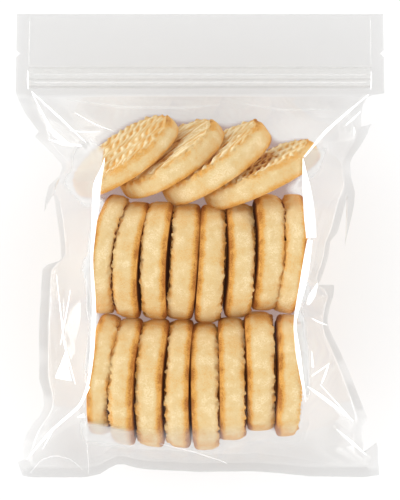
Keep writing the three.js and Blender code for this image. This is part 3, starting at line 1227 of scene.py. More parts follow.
@dataclass(frozen=True)
class PaintedGlint:
    """A painted highlight: a white line or wedge laid on the front sheet where the film's reflection shows.
    """

    strength: float
    line: tuple[tuple[float, float, float], ...]  # x, y and width, from end to end
    spacing: float = 0.8
    softening: float = 3.0  # how far corners of a line of more than three points are rounded
    across: int = 7
    lift: float = 0.12
    crown: float = 0.15
    depth: float = 0.08

    def path(self) -> Array:
        """The line at even steps, with its corners rounded by the mean over a window round each place.

        Returns:
            For each step x, y and the width.
        """
        points = np.array(self.line)
        gone = np.concatenate([[0.0], np.cumsum(np.hypot(*np.diff(points[:, :2], axis=0).T))])
        steps = np.linspace(0.0, gone[-1], max(int(gone[-1] / self.spacing), 3) + 1)
        reach = self.softening if len(points) > 3 else 0.0
        near = np.minimum(np.minimum(steps, gone[-1] - steps), reach)
        samples = 9
        offsets = np.linspace(-1.0, 1.0, samples)[:, None] * near
        places = steps + offsets
        return np.stack([np.interp(places, gone, points[:, k]).mean(axis=0) for k in range(3)], axis=-1)

    def rings(self, top: FilmTop) -> Array:
        """A flat tube along the line: its upper side a little above the film, its lower side just under.

        Args:
            top: The front sheet.

        Returns:
            An array of (steps, ring, 3) points.
        """
        path = self.path()
        way = np.gradient(path[:, :2], axis=0)
        way /= np.hypot(way[:, 0], way[:, 1])[:, None]
        right = np.stack([way[:, 1], -way[:, 0]], axis=-1)
        over = np.linspace(-1.0, 1.0, self.across)
        share = np.concatenate([over, over[-2:0:-1]])
        upper = self.lift + self.crown * (1.0 - over**2)
        above = np.concatenate([upper, np.full(self.across - 2, -self.depth)])
        plan = path[:, None, :2] + right[:, None, :] * (share[:, None] * path[:, None, 2:] / 2.0)
        points = top.lay(plan[..., 0].ravel(), plan[..., 1].ravel()).reshape(*plan.shape[:2], 3)
        points[..., 2] += above
        return points


@dataclass(frozen=True)
class PaintedGlints:
    """All the painted highlights that show white on the front sheet."""

    glints: tuple[PaintedGlint, ...] = (
        # along the seals and the zip
        PaintedGlint(0.01, ((-93.0, 125.6, 2.2), (0.0, 125.6, 2.2), (93.0, 125.6, 2.2))),
        PaintedGlint(0.10, ((-93.0, 124.0, 0.5), (-93.0, 99.0, 0.5))),
        PaintedGlint(0.85, ((-93.6, 95.5, 0.4), (-93.4, 90.0, 0.8), (-93.2, 85.5, 0.5))),
        PaintedGlint(0.08, ((93.0, 124.0, 0.5), (93.0, 99.0, 0.5))),
        PaintedGlint(0.5, ((93.0, 95.0, 0.4), (93.0, 90.0, 0.6), (92.6, 85.0, 0.4))),
        PaintedGlint(0.07, ((-90.0, 93.4, 0.8), (-20.0, 93.3, 1.6), (90.0, 93.2, 0.8))),
        PaintedGlint(0.14, ((-60.0, 94.0, 0.2), (-30.0, 93.6, 0.7), (10.0, 93.6, 0.7), (60.0, 93.4, 0.2))),
        PaintedGlint(0.10, ((-90.0, 89.0, 0.8), (0.0, 89.0, 1.1), (90.0, 89.0, 0.8))),
        # slack film below the zip
        PaintedGlint(0.05, ((-72.0, 79.5, 0.4), (-40.0, 75.0, 1.8), (-8.0, 74.5, 1.8), (14.0, 77.0, 0.4))),
        PaintedGlint(0.04, ((18.0, 78.0, 0.4), (44.0, 73.5, 1.8), (70.0, 74.0, 0.4))),
        # top left
        PaintedGlint(0.95, ((-91.4, 84.1, 0.4), (-75.1, 69.0, 1.2), (-60.8, 55.4, 0.3))),
        PaintedGlint(0.9, ((-91.0, 83.0, 0.3), (-85.1, 71.9, 0.8), (-80.2, 62.6, 1.3))),
        PaintedGlint(0.9, ((-82.4, 65.4, 0.4), (-79.0, 61.0, 3.0), (-75.0, 58.1, 2.4), (-70.4, 55.2, 0.5))),
        PaintedGlint(0.95, ((-82.0, 58.0, 0.4), (-73.0, 54.9, 1.8), (-62.9, 53.8, 0.6))),
        PaintedGlint(0.7, ((-70.1, 62.2, 0.3), (-61.2, 61.2, 0.7), (-53.4, 61.2, 0.2))),
        PaintedGlint(0.3, ((-67.7, 72.2, 0.3), (-55.9, 65.2, 0.6), (-45.2, 61.1, 0.2))),
        # left strip
        PaintedGlint(1.0, (
            (-50.4, 46.9, 0.3), (-51.9, 40.0, 2.1), (-53.9, 33.7, 4.5), (-54.8, 28.0, 4.5),
            (-54.9, 21.7, 4.2), (-55.4, 13.8, 2.9), (-55.9, 3.3, 1.9), (-56.5, -4.5, 1.4),
            (-56.4, -12.3, 1.4), (-56.0, -20.2, 1.8), (-55.7, -33.4, 2.1), (-56.1, -42.8, 2.5),
            (-56.5, -56.1, 2.3), (-57.3, -65.4, 1.6), (-58.9, -73.8, 1.6), (-61.7, -81.4, 0.8),
        )),
        # left flank
        PaintedGlint(0.9, ((-77.0, -15.3, 0.3), (-74.6, -33.9, 0.7), (-72.0, -52.2, 1.1), (-65.7, -72.8, 0.4))),
        PaintedGlint(0.85, ((-68.8, -23.1, 0.3), (-71.6, -38.0, 0.8), (-74.4, -52.4, 0.4))),
        PaintedGlint(0.95, ((-71.4, -55.9, 0.4), (-72.1, -62.9, 4.8), (-72.7, -70.9, 11.1))),
        # bottom left
        PaintedGlint(0.95, (
            (-57.8, -73.2, 1.0), (-63.4, -84.2, 1.7), (-71.2, -91.2, 1.4), (-79.4, -98.5, 1.2),
            (-87.9, -108.2, 1.0), (-95.1, -117.2, 0.3),
        )),
        PaintedGlint(0.6, ((-79.4, -99.6, 0.3), (-82.6, -105.0, 0.7), (-85.7, -110.4, 0.3))),
        PaintedGlint(0.12, ((-60.2, -88.3, 0.4), (-60.6, -106.1, 0.5), (-61.3, -125.1, 0.4))),
        PaintedGlint(0.8, ((-64.9, -90.5, 0.3), (-60.8, -88.9, 2.4))),
        PaintedGlint(0.13, (
            (-93.1, -124.5, 0.3), (-87.3, -117.1, 0.5), (-78.8, -113.9, 0.7), (-70.7, -116.2, 0.5),
            (-64.6, -122.9, 0.3),
        )),
        # top right
        PaintedGlint(1.0, ((91.3, 82.4, 0.4), (80.9, 73.6, 1.2), (67.2, 61.5, 1.6), (54.8, 47.1, 0.8))),
        PaintedGlint(0.8, ((86.9, 73.1, 0.3), (83.1, 69.3, 1.0), (78.4, 65.2, 0.4))),
        PaintedGlint(0.7, ((83.2, 64.3, 0.4), (83.3, 62.2, 1.1), (83.1, 60.0, 0.4))),
        # right strip
        PaintedGlint(1.0, (
            (54.2, 46.5, 0.4), (55.0, 39.1, 2.4), (55.9, 32.2, 4.2), (57.1, 24.4, 5.5), (57.8, 13.8, 6.3),
            (58.4, 4.4, 5.7),
        )),
        PaintedGlint(1.0, (
            (57.6, 3.4, 3.0), (56.7, -1.9, 3.6), (54.9, -15.4, 4.5), (52.0, -29.2, 2.7),
            (50.4, -38.2, 1.8), (50.0, -42.9, 1.6), (51.4, -56.1, 2.8), (53.5, -70.1, 1.7),
            (54.8, -77.5, 1.1), (55.4, -81.3, 0.3),
        )),
        # right flank
        PaintedGlint(0.75, ((63.4, -19.6, 0.5), (60.6, -23.5, 3.2), (58.3, -27.6, 4.7), (56.9, -30.9, 1.1))),
        PaintedGlint(0.9, ((59.4, -38.3, 0.4), (64.3, -40.8, 0.9), (68.6, -42.5, 0.3))),
        PaintedGlint(0.8, ((59.0, -55.4, 0.4), (59.2, -59.6, 0.9), (59.5, -63.8, 1.4))),
        PaintedGlint(0.9, ((58.6, -68.3, 0.5), (63.9, -65.5, 0.9), (69.2, -62.6, 0.4))),
        PaintedGlint(0.9, ((68.6, -63.1, 0.4), (66.8, -67.6, 1.3), (64.4, -72.6, 0.8))),
        # bottom right
        PaintedGlint(0.95, ((56.4, -73.4, 0.5), (61.9, -77.5, 1.6), (71.2, -84.8, 1.9), (82.8, -94.2, 0.5))),
        PaintedGlint(0.8, ((63.6, -73.1, 0.3), (73.6, -84.1, 0.6), (82.9, -94.7, 0.5))),
        PaintedGlint(0.9, ((73.6, -98.5, 0.3), (82.6, -106.8, 1.7), (91.1, -114.3, 0.4))),
        # bottom
        PaintedGlint(0.3, ((-21.2, -105.6, 0.3), (-2.7, -112.2, 0.6), (14.8, -122.4, 0.3))),
    )

    def build(self, top: FilmTop, material: Material) -> Piece:
        """The painted highlights' object.

        Args:
            top: The front sheet that they lie on.
            material: Their finish.

        Returns:
            The object.
        """
        points, quads, strengths = [], [], []
        for glint in self.glints:
            rings = glint.rings(top)
            quads.append(tube_quads(*rings.shape[:2]) + sum(map(len, points)))
            points.append(with_poles(rings))
            strengths.append(np.full(len(points[-1]), glint.strength))
        values = {"strength": np.concatenate(strengths)}
        piece = make_piece("film_painted_glints", np.concatenate(points), np.concatenate(quads), values)
        piece.data.materials.append(material)
        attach(piece, BODY)
        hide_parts("pouch")
        return piece


@dataclass
class Pouch:
    """The pouch's clear film: a front and a back sheet, welded at both sides, the bottom and the top."""

    length: float = 254.0
    bottom_seal: float = 6.0
    top_seal: float = 3.6
    header_y: float = 82.0
    header_z: float = 23.0
    top_z: float = 15.0
    bottom_z: float = 9.0
    weld: float = 0.3  # both films where they are welded
    pair: float = 0.5  # both films where they only lie together
    zip_strip: ZipStrip = ZipStrip()
    zip_ramp: float = 6.0  # how far from its ends the zip starts to lift the film
    notch_y: float = 105.0
    notch: float = 2.0
    clearance: float = 0.35  # from the biscuits to the film
    over_zip: float = 0.1  # from the zip to the film
    lowest: float = 0.1  # the back film over the table
    least_gap: float = 0.3  # between the sheets

    inner_columns: int = 196
    flank_columns: int = 58  # of the inner ones, in each flank
    flank_share: float = 0.16  # of the way between the roots
    band_columns: int = 3  # in each half of a band
    rounds: int = 260
    guess_height: float = 62.0  # the front sheet over the block, before it settles
    guess_slopes: tuple[float, float] = (24.0, 20.0)  # how far in the first guess rises, across and along
    touch_blur: int = 5
    near_blur: int = 9
    wide_blur: int = 14
    fold_fade: tuple[float, float] = (5.0, 6.0)  # how far in the creases reach full height, across and along

    seam_height: Table = ((-121.0, 9.0), (-92.0, 24.0), (-60.0, 29.0), (40.0, 29.0), (82.0, 23.0))
    bottom_lift: Table = (
        (-100.0, 3.0), (-97.0, 1.0), (-92.0, 0.2), (-76.0, 0.2), (-63.0, 0.3), (-55.0, 2.0), (-50.0, 5.2),
        (-45.5, 7.4), (-41.5, 7.4), (-36.0, 5.7), (-29.0, 4.6), (0.0, 3.2), (29.0, 3.6), (44.0, 2.5),
        (60.0, 0.8), (90.0, 0.3), (100.0, 1.8),
    )
    lift_reach: float = 30.0
    seam_wave: float = 0.8
    wave_length: float = 31.0
    root_limit: float = 94.0  # the farthest out that the welds end
    header_density: float = 0.50
    usual_density: float = 0.05
    uneven_density: float = 0.10
    weld_clearness: float = 0.16
    density_seed: int = 5
    cloud: tuple[float, float] = (26.0, 34.0)  # the size of the uneven patches, across and along
    usual_haze: float = 0.004

    left: SideBand = SideBand(
        side=-1,
        outline=(
            (-127.0, -97.6), (-121.4, -100.0), (-117.0, -99.6), (-108.5, -96.9), (-101.5, -94.1),
            (-96.0, -90.8), (-91.8, -86.9), (-86.4, -84.4), (-78.9, -84.7), (-71.9, -86.9),
            (-39.6, -86.7), (-22.4, -85.6), (-12.1, -84.9), (-9.4, -81.9), (-7.5, -75.0), (0.0, -75.2),
            (12.0, -76.5), (29.3, -79.2), (29.9, -84.5), (33.5, -83.1), (35.5, -81.0), (37.9, -75.9),
            (42.3, -74.3), (44.9, -74.9), (52.5, -81.9), (59.5, -89.4), (62.2, -87.2), (72.4, -94.8),
            (80.0, -98.6), (84.0, -100.0), (127.0, -100.0),
        ),
        shift=(
            (-9.4, 0.0), (29.3, 0.0), (29.9, -13.4), (32.0, -10.0), (33.5, -5.8), (35.5, -1.9), (37.9, 0.0),
        ),
        width=(
            (-121.0, 6.0), (-15.0, 6.0), (-7.0, 3.5), (30.0, 3.5), (38.0, 3.0), (50.0, 4.5), (60.0, 6.0),
        ),
        hinge=((27.0, -77.6), (30.0, -78.6), (36.0, -76.0), (39.0, -74.0)),
    )
    right: SideBand = SideBand(
        side=1,
        outline=(
            (-127.0, 98.5), (-115.0, 97.3), (-113.6, 96.2), (-113.1, 89.8), (-105.0, 88.9), (-97.8, 88.3),
            (-93.4, 90.8), (-85.4, 87.6), (-69.2, 81.2), (-56.3, 75.4), (-48.7, 71.6), (-43.4, 69.3),
            (-39.6, 68.9), (-32.6, 70.0), (-26.7, 71.9), (-22.5, 72.4), (-21.4, 63.8), (-13.7, 66.8),
            (-5.1, 69.4), (2.4, 70.0), (7.8, 74.3), (27.7, 79.7), (28.3, 78.0), (30.0, 80.6),
            (31.5, 82.9), (33.0, 83.5), (37.9, 81.3), (44.9, 81.0), (48.2, 82.3), (55.2, 87.2),
            (62.7, 91.5), (63.6, 93.5), (64.2, 87.2), (72.0, 87.3), (76.7, 88.3), (81.0, 90.9),
            (82.2, 94.2), (82.8, 100.0), (127.0, 100.0),
        ),
        shift=(
            (-118.0, 0.0), (-113.6, 6.7), (-113.1, 0.0), (-24.0, 0.0), (-22.5, 3.4), (-21.4, 0.0),
            (27.7, 0.0), (28.3, -28.5), (30.0, -18.0), (31.5, -10.8), (33.0, -3.7), (37.9, 0.0),
            (61.0, 0.0), (63.6, 3.3), (64.2, 0.0),
        ),
        width=(
            (-121.0, 6.0), (-50.0, 5.0), (-40.0, 3.5), (0.0, 3.5), (10.0, 5.0), (60.0, 5.5), (78.0, 6.0),
        ),
        hinge=((26.0, 77.9), (28.0, 79.4), (34.0, 79.6), (40.0, 78.5)),
    )

    patches: tuple[HazeAndHighlightPatch, ...] = (
        # over the ends of the first and the last leaning biscuit
        HazeAndHighlightPatch(0.69, (
            (-80.0, 12.0, 8.0), (-56.7, 12.0, 1.0), (-51.0, 47.0, 1.0), (-50.6, 51.0, 1.2),
            (-52.4, 56.0, 6.0), (-62.0, 64.0, 8.0), (-80.0, 60.0, 8.0),
        )),
        HazeAndHighlightPatch(0.62, (
            (57.8, 20.0, 6.0), (76.0, 20.0, 6.0), (76.0, 53.0, 3.0), (60.0, 54.0, 1.0), (53.8, 46.5, 1.0),
        )),
        # painted highlights: white milky film beside the white edges of the block
        HazeAndHighlightPatch(0.92, (
            (-64.5, -70.0, 9.0), (-56.8, -70.0, 1.2), (-55.9, -20.0, 1.2), (-55.2, 20.0, 4.0),
            (-64.5, 20.0, 4.0),
        )),
        HazeAndHighlightPatch(0.90, ((57.8, 2.0, 1.0), (66.0, 2.0, 1.4), (66.0, 34.0, 6.0), (57.6, 34.0, 1.4))),
        HazeAndHighlightPatch(0.92, ((50.6, -41.0, 1.0), (66.0, -41.0, 2.0), (66.0, 4.0, 1.0), (58.6, 4.0, 1.0))),
        HazeAndHighlightPatch(0.92, ((55.3, -80.0, 5.0), (64.0, -80.0, 3.0), (64.0, -39.0, 1.0), (50.0, -40.0, 1.0))),
        # over the lower row's ends
        HazeAndHighlightPatch(0.66, (
            (-66.0, -126.0, 4.0), (-31.0, -126.0, 8.0), (-32.5, -96.2, 2.2), (-46.9, -93.8, 2.2),
            (-65.0, -89.8, 3.0),
        )),
        HazeAndHighlightPatch(0.22, (
            (-40.0, -122.0, 6.0), (60.0, -122.0, 8.0), (60.0, -90.0, 9.0), (-40.0, -94.0, 3.0),
        )),
    )
    # where the film's tint is painted darker than usual, as painted shade
    shade_spots: tuple[Spot, ...] = (
        Spot(-4.0, 76.0, 46.0, 22.0, 0.85),
        Spot(-70.0, 72.0, 26.0, 10.0, 0.35),
        Spot(70.0, 76.0, 20.0, 8.0, 0.30),
        Spot(-78.0, -44.0, 8.0, 44.0, 0.50),
        Spot(-68.0, -100.0, 14.0, 14.0, 0.40),
        Spot(20.0, -116.0, 60.0, 13.0, 0.62),
        Spot(-62.0, -116.0, 40.0, 12.0, 0.45),
        Spot(62.0, -30.0, 8.0, 16.0, 0.25),
        Spot(78.0, -80.0, 10.0, 20.0, 0.25),
        Spot(84.0, -114.0, 24.0, 12.0, 0.22),
        Spot(76.0, -99.0, 10.0, 8.0, 0.30),
        Spot(57.0, 80.0, 20.0, 12.0, 0.45),
        Spot(77.0, 53.0, 10.0, 12.0, 0.55),
        Spot(-67.0, -80.0, 8.0, 9.0, 0.35),
    )
    # where the film hangs slack and shines less
    calm_spots: tuple[Spot, ...] = (
        Spot(-72.0, 36.0, 13.0, 26.0, 0.85),
        Spot(-74.0, 66.0, 24.0, 14.0, 0.75),
        Spot(72.0, 52.0, 18.0, 18.0, 0.85),
        Spot(82.0, 72.0, 16.0, 12.0, 0.60),
        Spot(-68.0, -98.0, 16.0, 14.0, 0.75),
        Spot(-78.0, -112.0, 16.0, 10.0, 0.60),
        Spot(-67.0, -46.0, 8.0, 14.0, 0.45),
        Spot(75.0, -100.0, 14.0, 12.0, 0.55),
    )

    creases: tuple[Crease, ...] = (
        # along the left shoulder
        Crease((-57.6, 47.0), (-57.8, -8.0), (2.4, 2.4), (18.0, 4.5)),
        Crease((-57.8, -8.0), (-59.0, -76.0), (2.6, 4.2), (20.0, 4.5)),
        # crossed folds on the left flank
        Crease((-76.0, -14.0), (-71.5, -52.0), (1.0, 4.0), (5.0, 9.0)),
        Crease((-71.5, -52.0), (-66.0, -73.0), (4.0, 1.5), (5.0, 8.0)),
        Crease((-68.5, -23.0), (-74.0, -54.0), (1.5, 3.5), (8.0, 5.0)),
        Crease((-71.0, -56.0), (-78.0, -71.0), (3.0, 1.5), (9.0, 5.0)),
        Crease((-78.0, -71.0), (-66.5, -71.0), (2.5, 2.5), (9.0, 4.0)),
        # bottom left corner
        Crease((-58.7, -76.0), (-64.0, -86.0), (4.0, 4.5), (5.0, 9.0)),
        Crease((-64.0, -86.0), (-78.3, -98.0), (4.5, 4.0), (6.0, 9.0)),
        Crease((-78.3, -98.0), (-92.0, -114.5), (4.0, 1.5), (5.0, 7.0)),
        Crease((-77.0, -100.5), (-85.5, -111.0), (1.5, 1.0), (2.5, 3.5)),
        Crease((-61.0, -89.0), (-60.5, -119.0), (2.5, 0.8), (12.0, 6.0)),
        # top left corner
        Crease((-91.5, 82.0), (-62.0, 53.5), (0.8, 3.0), (5.0, 9.0)),
        Crease((-91.5, 82.0), (-80.0, 62.5), (0.8, 1.8), (6.0, 5.0)),
        Crease((-81.0, 57.5), (-62.5, 54.5), (2.0, 3.0), (5.0, 6.0)),
        Crease((-69.5, 62.0), (-53.0, 61.0), (0.6, 1.0), (5.0, 4.0)),
        Crease((-67.0, 71.0), (-45.0, 61.0), (0.4, 1.0), (7.0, 4.0)),
        # top right corner
        Crease((91.5, 81.5), (66.5, 61.0), (0.8, 1.8), (7.0, 5.0)),
        Crease((66.5, 61.0), (54.5, 47.5), (1.8, 2.4), (6.0, 4.0)),
        Crease((84.0, 71.0), (77.0, 64.0), (1.6, 2.4), (4.0, 4.0)),
        # along the right shoulder
        Crease((54.5, 47.5), (61.5, 6.0), (3.0, 5.2), (7.5, 18.0)),
        Crease((60.0, 4.0), (54.5, -34.0), (4.4, 3.2), (5.0, 16.0)),
        Crease((54.0, -38.0), (57.8, -78.0), (3.0, 4.2), (4.5, 18.0)),
        # right flank
        Crease((66.0, -18.0), (57.0, -29.0), (1.4, 3.0), (7.0, 5.0)),
        Crease((59.0, -38.0), (68.0, -42.0), (2.4, 1.4), (5.0, 4.0)),
        Crease((60.0, -54.0), (61.0, -64.0), (2.0, 2.0), (3.5, 4.0)),
        Crease((59.5, -69.0), (69.0, -62.5), (1.6, 2.6), (4.0, 5.0)),
        Crease((69.0, -62.5), (64.5, -73.0), (2.6, 1.4), (4.0, 5.0)),
        # bottom right corner
        Crease((58.0, -74.0), (81.0, -93.0), (4.2, 2.6), (5.0, 11.0)),
        Crease((73.0, -98.0), (90.0, -113.0), (3.2, 1.2), (4.0, 6.0)),
        # along the bottom
        Crease((-21.0, -106.5), (14.5, -119.0), (1.8, 0.6), (8.0, 5.0)),
        Crease((30.0, -108.0), (22.0, -119.0), (1.2, 0.5), (6.0, 6.0)),
    )

    touch: Array | None = None  # where the front sheet lies on the biscuits or shines less
    near: Array | None = None  # where the front sheet is over the biscuits or close to them
    under_shade: Array | None = None  # painted shade on the back sheet under and between the biscuits
    top: FilmTop | None = None  # the front sheet, once it is made

    def stations(self) -> Array:
        """Places along the pouch, closer together where the zip's ribs are.

        Returns:
            The places in rising order.
        """
        top, margin = self.length / 2, 0.5
        stops = [-top, self.seal_y(), self.header_y]
        stops += [self.zip_strip.low - margin, self.zip_strip.high + margin]
        stops += [self.notch_y - self.notch, self.notch_y + self.notch, top - self.top_seal, top]
        counts = (4, 174, 3, 30, 4, 4, 6, 4)
        runs = zip(stops[:-1], stops[1:], counts)
        parts = [np.linspace(a, b, n, endpoint=False) for a, b, n in runs]
        return np.concatenate([*parts, [top]])

    def seal_y(self) -> float:
        """Where the bottom weld ends."""
        return -self.length / 2 + self.bottom_seal

    def header_height(self, y: Array) -> Array:
        """The height of the flat header's middle, which droops towards the top edge."""
        droop = (self.header_z - self.top_z) * (y - self.header_y)
        return self.header_z - droop / (self.length / 2 - self.header_y)

    def grading(self) -> Array:
        """The inner columns' places between the roots: close together in the flanks.

        Returns:
            The places as shares of the way from the left root to the right one.
        """
        middle = self.inner_columns - 2 * self.flank_columns
        left = np.linspace(0.0, self.flank_share, self.flank_columns, endpoint=False)
        centre = np.linspace(self.flank_share, 1.0 - self.flank_share, middle, endpoint=False)
        right = np.linspace(1.0 - self.flank_share, 1.0, self.flank_columns, endpoint=False)
        return np.concatenate([left, centre, right])

    def plan(self) -> tuple[Array, Array, Array]:
        """Where every point of a sheet lies, seen from above.

        Each row runs from the left edge over the left band's two halves, the sheet and the right band's
        two halves to the right edge, in straight steps between the edge, the hinge and the root.

        Returns:
            x, y, and each column's share of the way from a root (1) to the edge (0).
        """
        station = self.stations()
        zero = np.zeros_like(station)
        sides = []
        for band in (self.left, self.right):
            edge_x, pull = band.edge(station)
            notch = np.maximum(0.0, self.notch - np.abs(station - self.notch_y))
            edge_x = edge_x - band.side * notch
            plain = rounded(band.outline, station, 4.0)
            root_x = plain - band.side * along(band.width, station)
            root_x = band.side * np.minimum(band.side * root_x, self.root_limit)
            hinge_x = (edge_x + root_x) / 2.0
            inside = (station > band.hinge[0][0]) & (station < band.hinge[-1][0])
            hinge_x = np.where(inside, along(band.hinge, station), hinge_x)
            sides.append(((edge_x, pull), (hinge_x, zero), (root_x, zero)))
        stops = [*sides[0], *reversed(sides[1])]
        even = np.linspace(0.0, 1.0, self.band_columns, endpoint=False)
        shares = [even, even, self.grading(), even, even]
        xs, shifts = [], []
        for (from_stop, to_stop), share in zip(zip(stops[:-1], stops[1:]), shares):
            xs.append(from_stop[0][:, None] * (1.0 - share) + to_stop[0][:, None] * share)
            shifts.append(from_stop[1][:, None] * (1.0 - share) + to_stop[1][:, None] * share)
        xs.append(stops[-1][0][:, None])
        shifts.append(stops[-1][1][:, None])
        x = np.concatenate(xs, axis=1)
        y = station[:, None] + np.concatenate(shifts, axis=1)
        bands = 2 * self.band_columns
        inwards = np.minimum(np.arange(x.shape[1]), np.arange(x.shape[1])[::-1]) / bands
        return x, y, np.broadcast_to(np.clip(inwards, 0.0, 1.0), x.shape)

    def contents_under(self, x: Array, cloud: Array) -> tuple[Array, Array]:
        """The biscuits' highest and lowest point near each point of the sheet.

        Args:
            x: Places across the pouch, by row and column.
            cloud: The biscuits' points.

        Returns:
            The highest and the lowest height, and far below and far above where no biscuit is near.
        """
        station = self.stations()
        row = np.interp(cloud[:, 1], station, np.arange(station.size))
        low = np.clip(row.astype(int), 0, station.size - 2)
        share = row - low
        first = self.band_columns * 2
        left = x[low, first] * (1.0 - share) + x[low + 1, first] * share
        right = x[low, -1 - first] * (1.0 - share) + x[low + 1, -1 - first] * share
        places = np.append(self.grading(), 1.0)
        column = first + np.interp((cloud[:, 0] - left) / (right - left), places, np.arange(places.size))
        cell = np.rint(row).astype(int), np.rint(column).astype(int)
        top = np.full(x.shape, NOTHING_BELOW)
        under = np.full(x.shape, -NOTHING_ABOVE)
        np.maximum.at(top, cell, cloud[:, 2])
        np.maximum.at(under, cell, -cloud[:, 2])
        return spread_max(top), -spread_max(under)

    def steps(self, x: Array, station: Array) -> Steps:
        """How far the points of a sheet are apart.

        Args:
            x: Places across, by row and column.
            station: Places along.

        Returns:
            The distances from each inner point to its neighbours: west and east, south and north.
        """
        least = 0.05
        gap_x = np.maximum(np.diff(x, axis=1), least)
        gap_y = np.maximum(np.diff(station, axis=0), least)
        return (gap_x[1:-1, :-1], gap_x[1:-1, 1:]), (gap_y[:-1, 1:-1], gap_y[1:, 1:-1])

    def seam(self, y: Array, side: int) -> Array:
        """The height of a side weld: its table, with a buckling wave that fades towards the ends.

        Args:
            y: Places along the pouch.
            side: -1 for the left weld and 1 for the right one.

        Returns:
            The height at each place.
        """
        calm = smoothstep(y, -118.0, -96.0) * (1.0 - smoothstep(y, 60.0, 80.0))
        wave = self.seam_wave * np.sin(2.0 * np.pi * y / self.wave_length + side)
        return rounded(self.seam_height, y, 5.0) + calm * wave

    def mark(self, x: Array, y: Array, over: Array) -> Array:
        """Keeps where the film touches the biscuits, is near them, and where the back sheet gets painted
        shade under the biscuits.

        Args:
            x: Places across the pouch.
            y: Places along it.
            over: 1 where a biscuit is under the film.

        Returns:
            How far each place is off the biscuits, from 0 to 1.
        """
        wide = blurred(over, self.wide_blur)
        calm = sum(spot.value(x, y) for spot in self.calm_spots)
        self.touch = np.maximum(blurred(over, self.touch_blur), np.minimum(calm, 1.0))
        self.near = smoothstep(blurred(over, self.near_blur), 0.0, 0.30)
        # painted shade on the back sheet, where the biscuits stand over it
        self.under_shade = smoothstep(wide, 0.55, 0.85)
        return 1.0 - smoothstep(wide, 0.0, 0.8)

    def sheets(self, cloud: Array) -> tuple[Array, Array, Array, Array, Array]:
        """The front and the back sheet's heights over the plan.

        Args:
            cloud: The biscuits' points.

        Returns:
            x, y, the front's z, the back's z, and the weld value of each point.
        """
        x, y, inwards = self.plan()
        station = np.broadcast_to(self.stations()[:, None], x.shape)
        top, under = self.contents_under(x, cloud)
        first = 2 * self.band_columns
        west, east = slice(first, first + 1), slice(-first - 1, -first)
        seal_y, header_y = self.seal_y(), self.header_y
        header = self.header_height(station)
        seam = np.where(x < 0, self.seam(station, -1), self.seam(station, 1))
        seam = np.where(station >= header_y, header, seam)
        is_band = inwards < 1.0
        is_header = station >= header_y
        is_bottom = station <= seal_y
        held = is_band | is_header | is_bottom
        root_share = np.clip((x - x[:, west]) / (x[:, east] - x[:, west]), 0.0, 1.0)
        flat = seam[:, west] * (1.0 - root_share) + seam[:, east] * root_share
        rest = np.where(is_header, header, np.where(is_bottom, self.bottom_z, flat))
        rest = np.where(is_band, seam, rest)
        # the first guess: from the seams up to the contents in straight slopes
        from_root = np.minimum(x - x[:, west], x[:, east] - x)
        across_in = np.minimum(from_root / self.guess_slopes[0], 1.0)
        along_in = np.minimum(station - seal_y, header_y - station) / self.guess_slopes[1]
        rise = np.clip(np.minimum(across_in, np.minimum(along_in, 1.0)), 0.0, 1.0)
        first_front = np.where(held, rest, rest + (self.guess_height - rest) * rise)
        low = np.where(held, rest, np.maximum(top + self.clearance, NOTHING_BELOW))
        high = np.where(held, rest, NOTHING_ABOVE)
        steps = self.steps(x, station)
        front = relaxed(first_front, low, high, steps, self.rounds)
        first_back = np.where(held, rest, rest * (1.0 - rise))
        high_back = np.where(held, rest, np.minimum(under - self.clearance, NOTHING_ABOVE))
        low_back = np.where(held, rest, self.lowest)
        back = relaxed(first_back, low_back, np.maximum(high_back, low_back), steps, self.rounds)
        # the creases
        fade_x, fade_y = self.fold_fade
        free = smoothstep(from_root, 0.0, fade_x)
        free = free * smoothstep(station, seal_y, seal_y + fade_y)
        free = free * (1.0 - smoothstep(station, header_y - fade_y, header_y))
        reliefs = [crease.relief(x, y) for crease in self.creases]
        raised = np.maximum.reduce(reliefs) + np.minimum.reduce(reliefs)
        off_contents = self.mark(x, y, (top > 0.0).astype(float))
        front = np.where(held, rest, np.maximum(blurred(front + raised * free * off_contents, 1), low))
        back = np.where(held, rest, np.minimum(back, front - self.least_gap))
        return x, y, front, back, inwards

    def film_density_and_shade(self, x: Array, station: Array, inwards: Array) -> Array:
        """How dense the film looks: dense in the header, painted darker as shade in the spots, less so in
        the welds, and uneven.

        Args:
            x: Places across the pouch.
            station: Places along it.
            inwards: The weld value, 0 at the edge and 1 inside.

        Returns:
            A value between 0 and 1 at each place.
        """
        header = self.header_density * smoothstep(station, self.header_y - 3.0, self.header_y + 2.0)
        # painted shade: spots where the film's tint is darker
        spots = sum(spot.value(x, station) for spot in self.shade_spots)
        place = np.stack([x / self.cloud[0], station / self.cloud[1], np.zeros_like(x)], axis=-1)
        uneven = self.usual_density + self.uneven_density * layered_noise(place, self.density_seed, 2)
        weld = self.weld_clearness * (1.0 - inwards)
        return np.clip(np.maximum(header, spots * (station < self.header_y) + uneven) - weld, 0.0, 1.0)

    def haze_and_highlight(self, x: Array, y: Array) -> Array:
        """The film's milky share, painted highlight included: the patches' own where it hides biscuits, and
        a little all over.
        """
        patches = np.maximum.reduce([patch.haze_and_highlight(x, y) for patch in self.patches])
        return np.maximum(self.usual_haze, patches * self.near)

    def half_distance(self, x: Array, station: Array, inwards: Array) -> Array:
        """Half the distance between the sheets where they are held together, and nothing elsewhere.

        Args:
            x: Places across the pouch.
            station: Places along it.
            inwards: The weld value, 0 at the edge and 1 inside.

        Returns:
            The distance at each place.
        """
        at_top = station > self.length / 2 - self.top_seal
        welded = (inwards < 1.0) | at_top | (station <= self.seal_y())
        half = np.where(welded, self.weld / 2, self.pair / 2)
        ends = self.zip_strip.half_length
        zip_reach = smoothstep(-np.abs(x), -ends, self.zip_ramp - ends)
        half = np.maximum(half, (self.zip_strip.half_height(station) + self.over_zip) * zip_reach)
        return np.where(station > self.header_y, half, np.where(welded, self.weld / 2, 0.0))

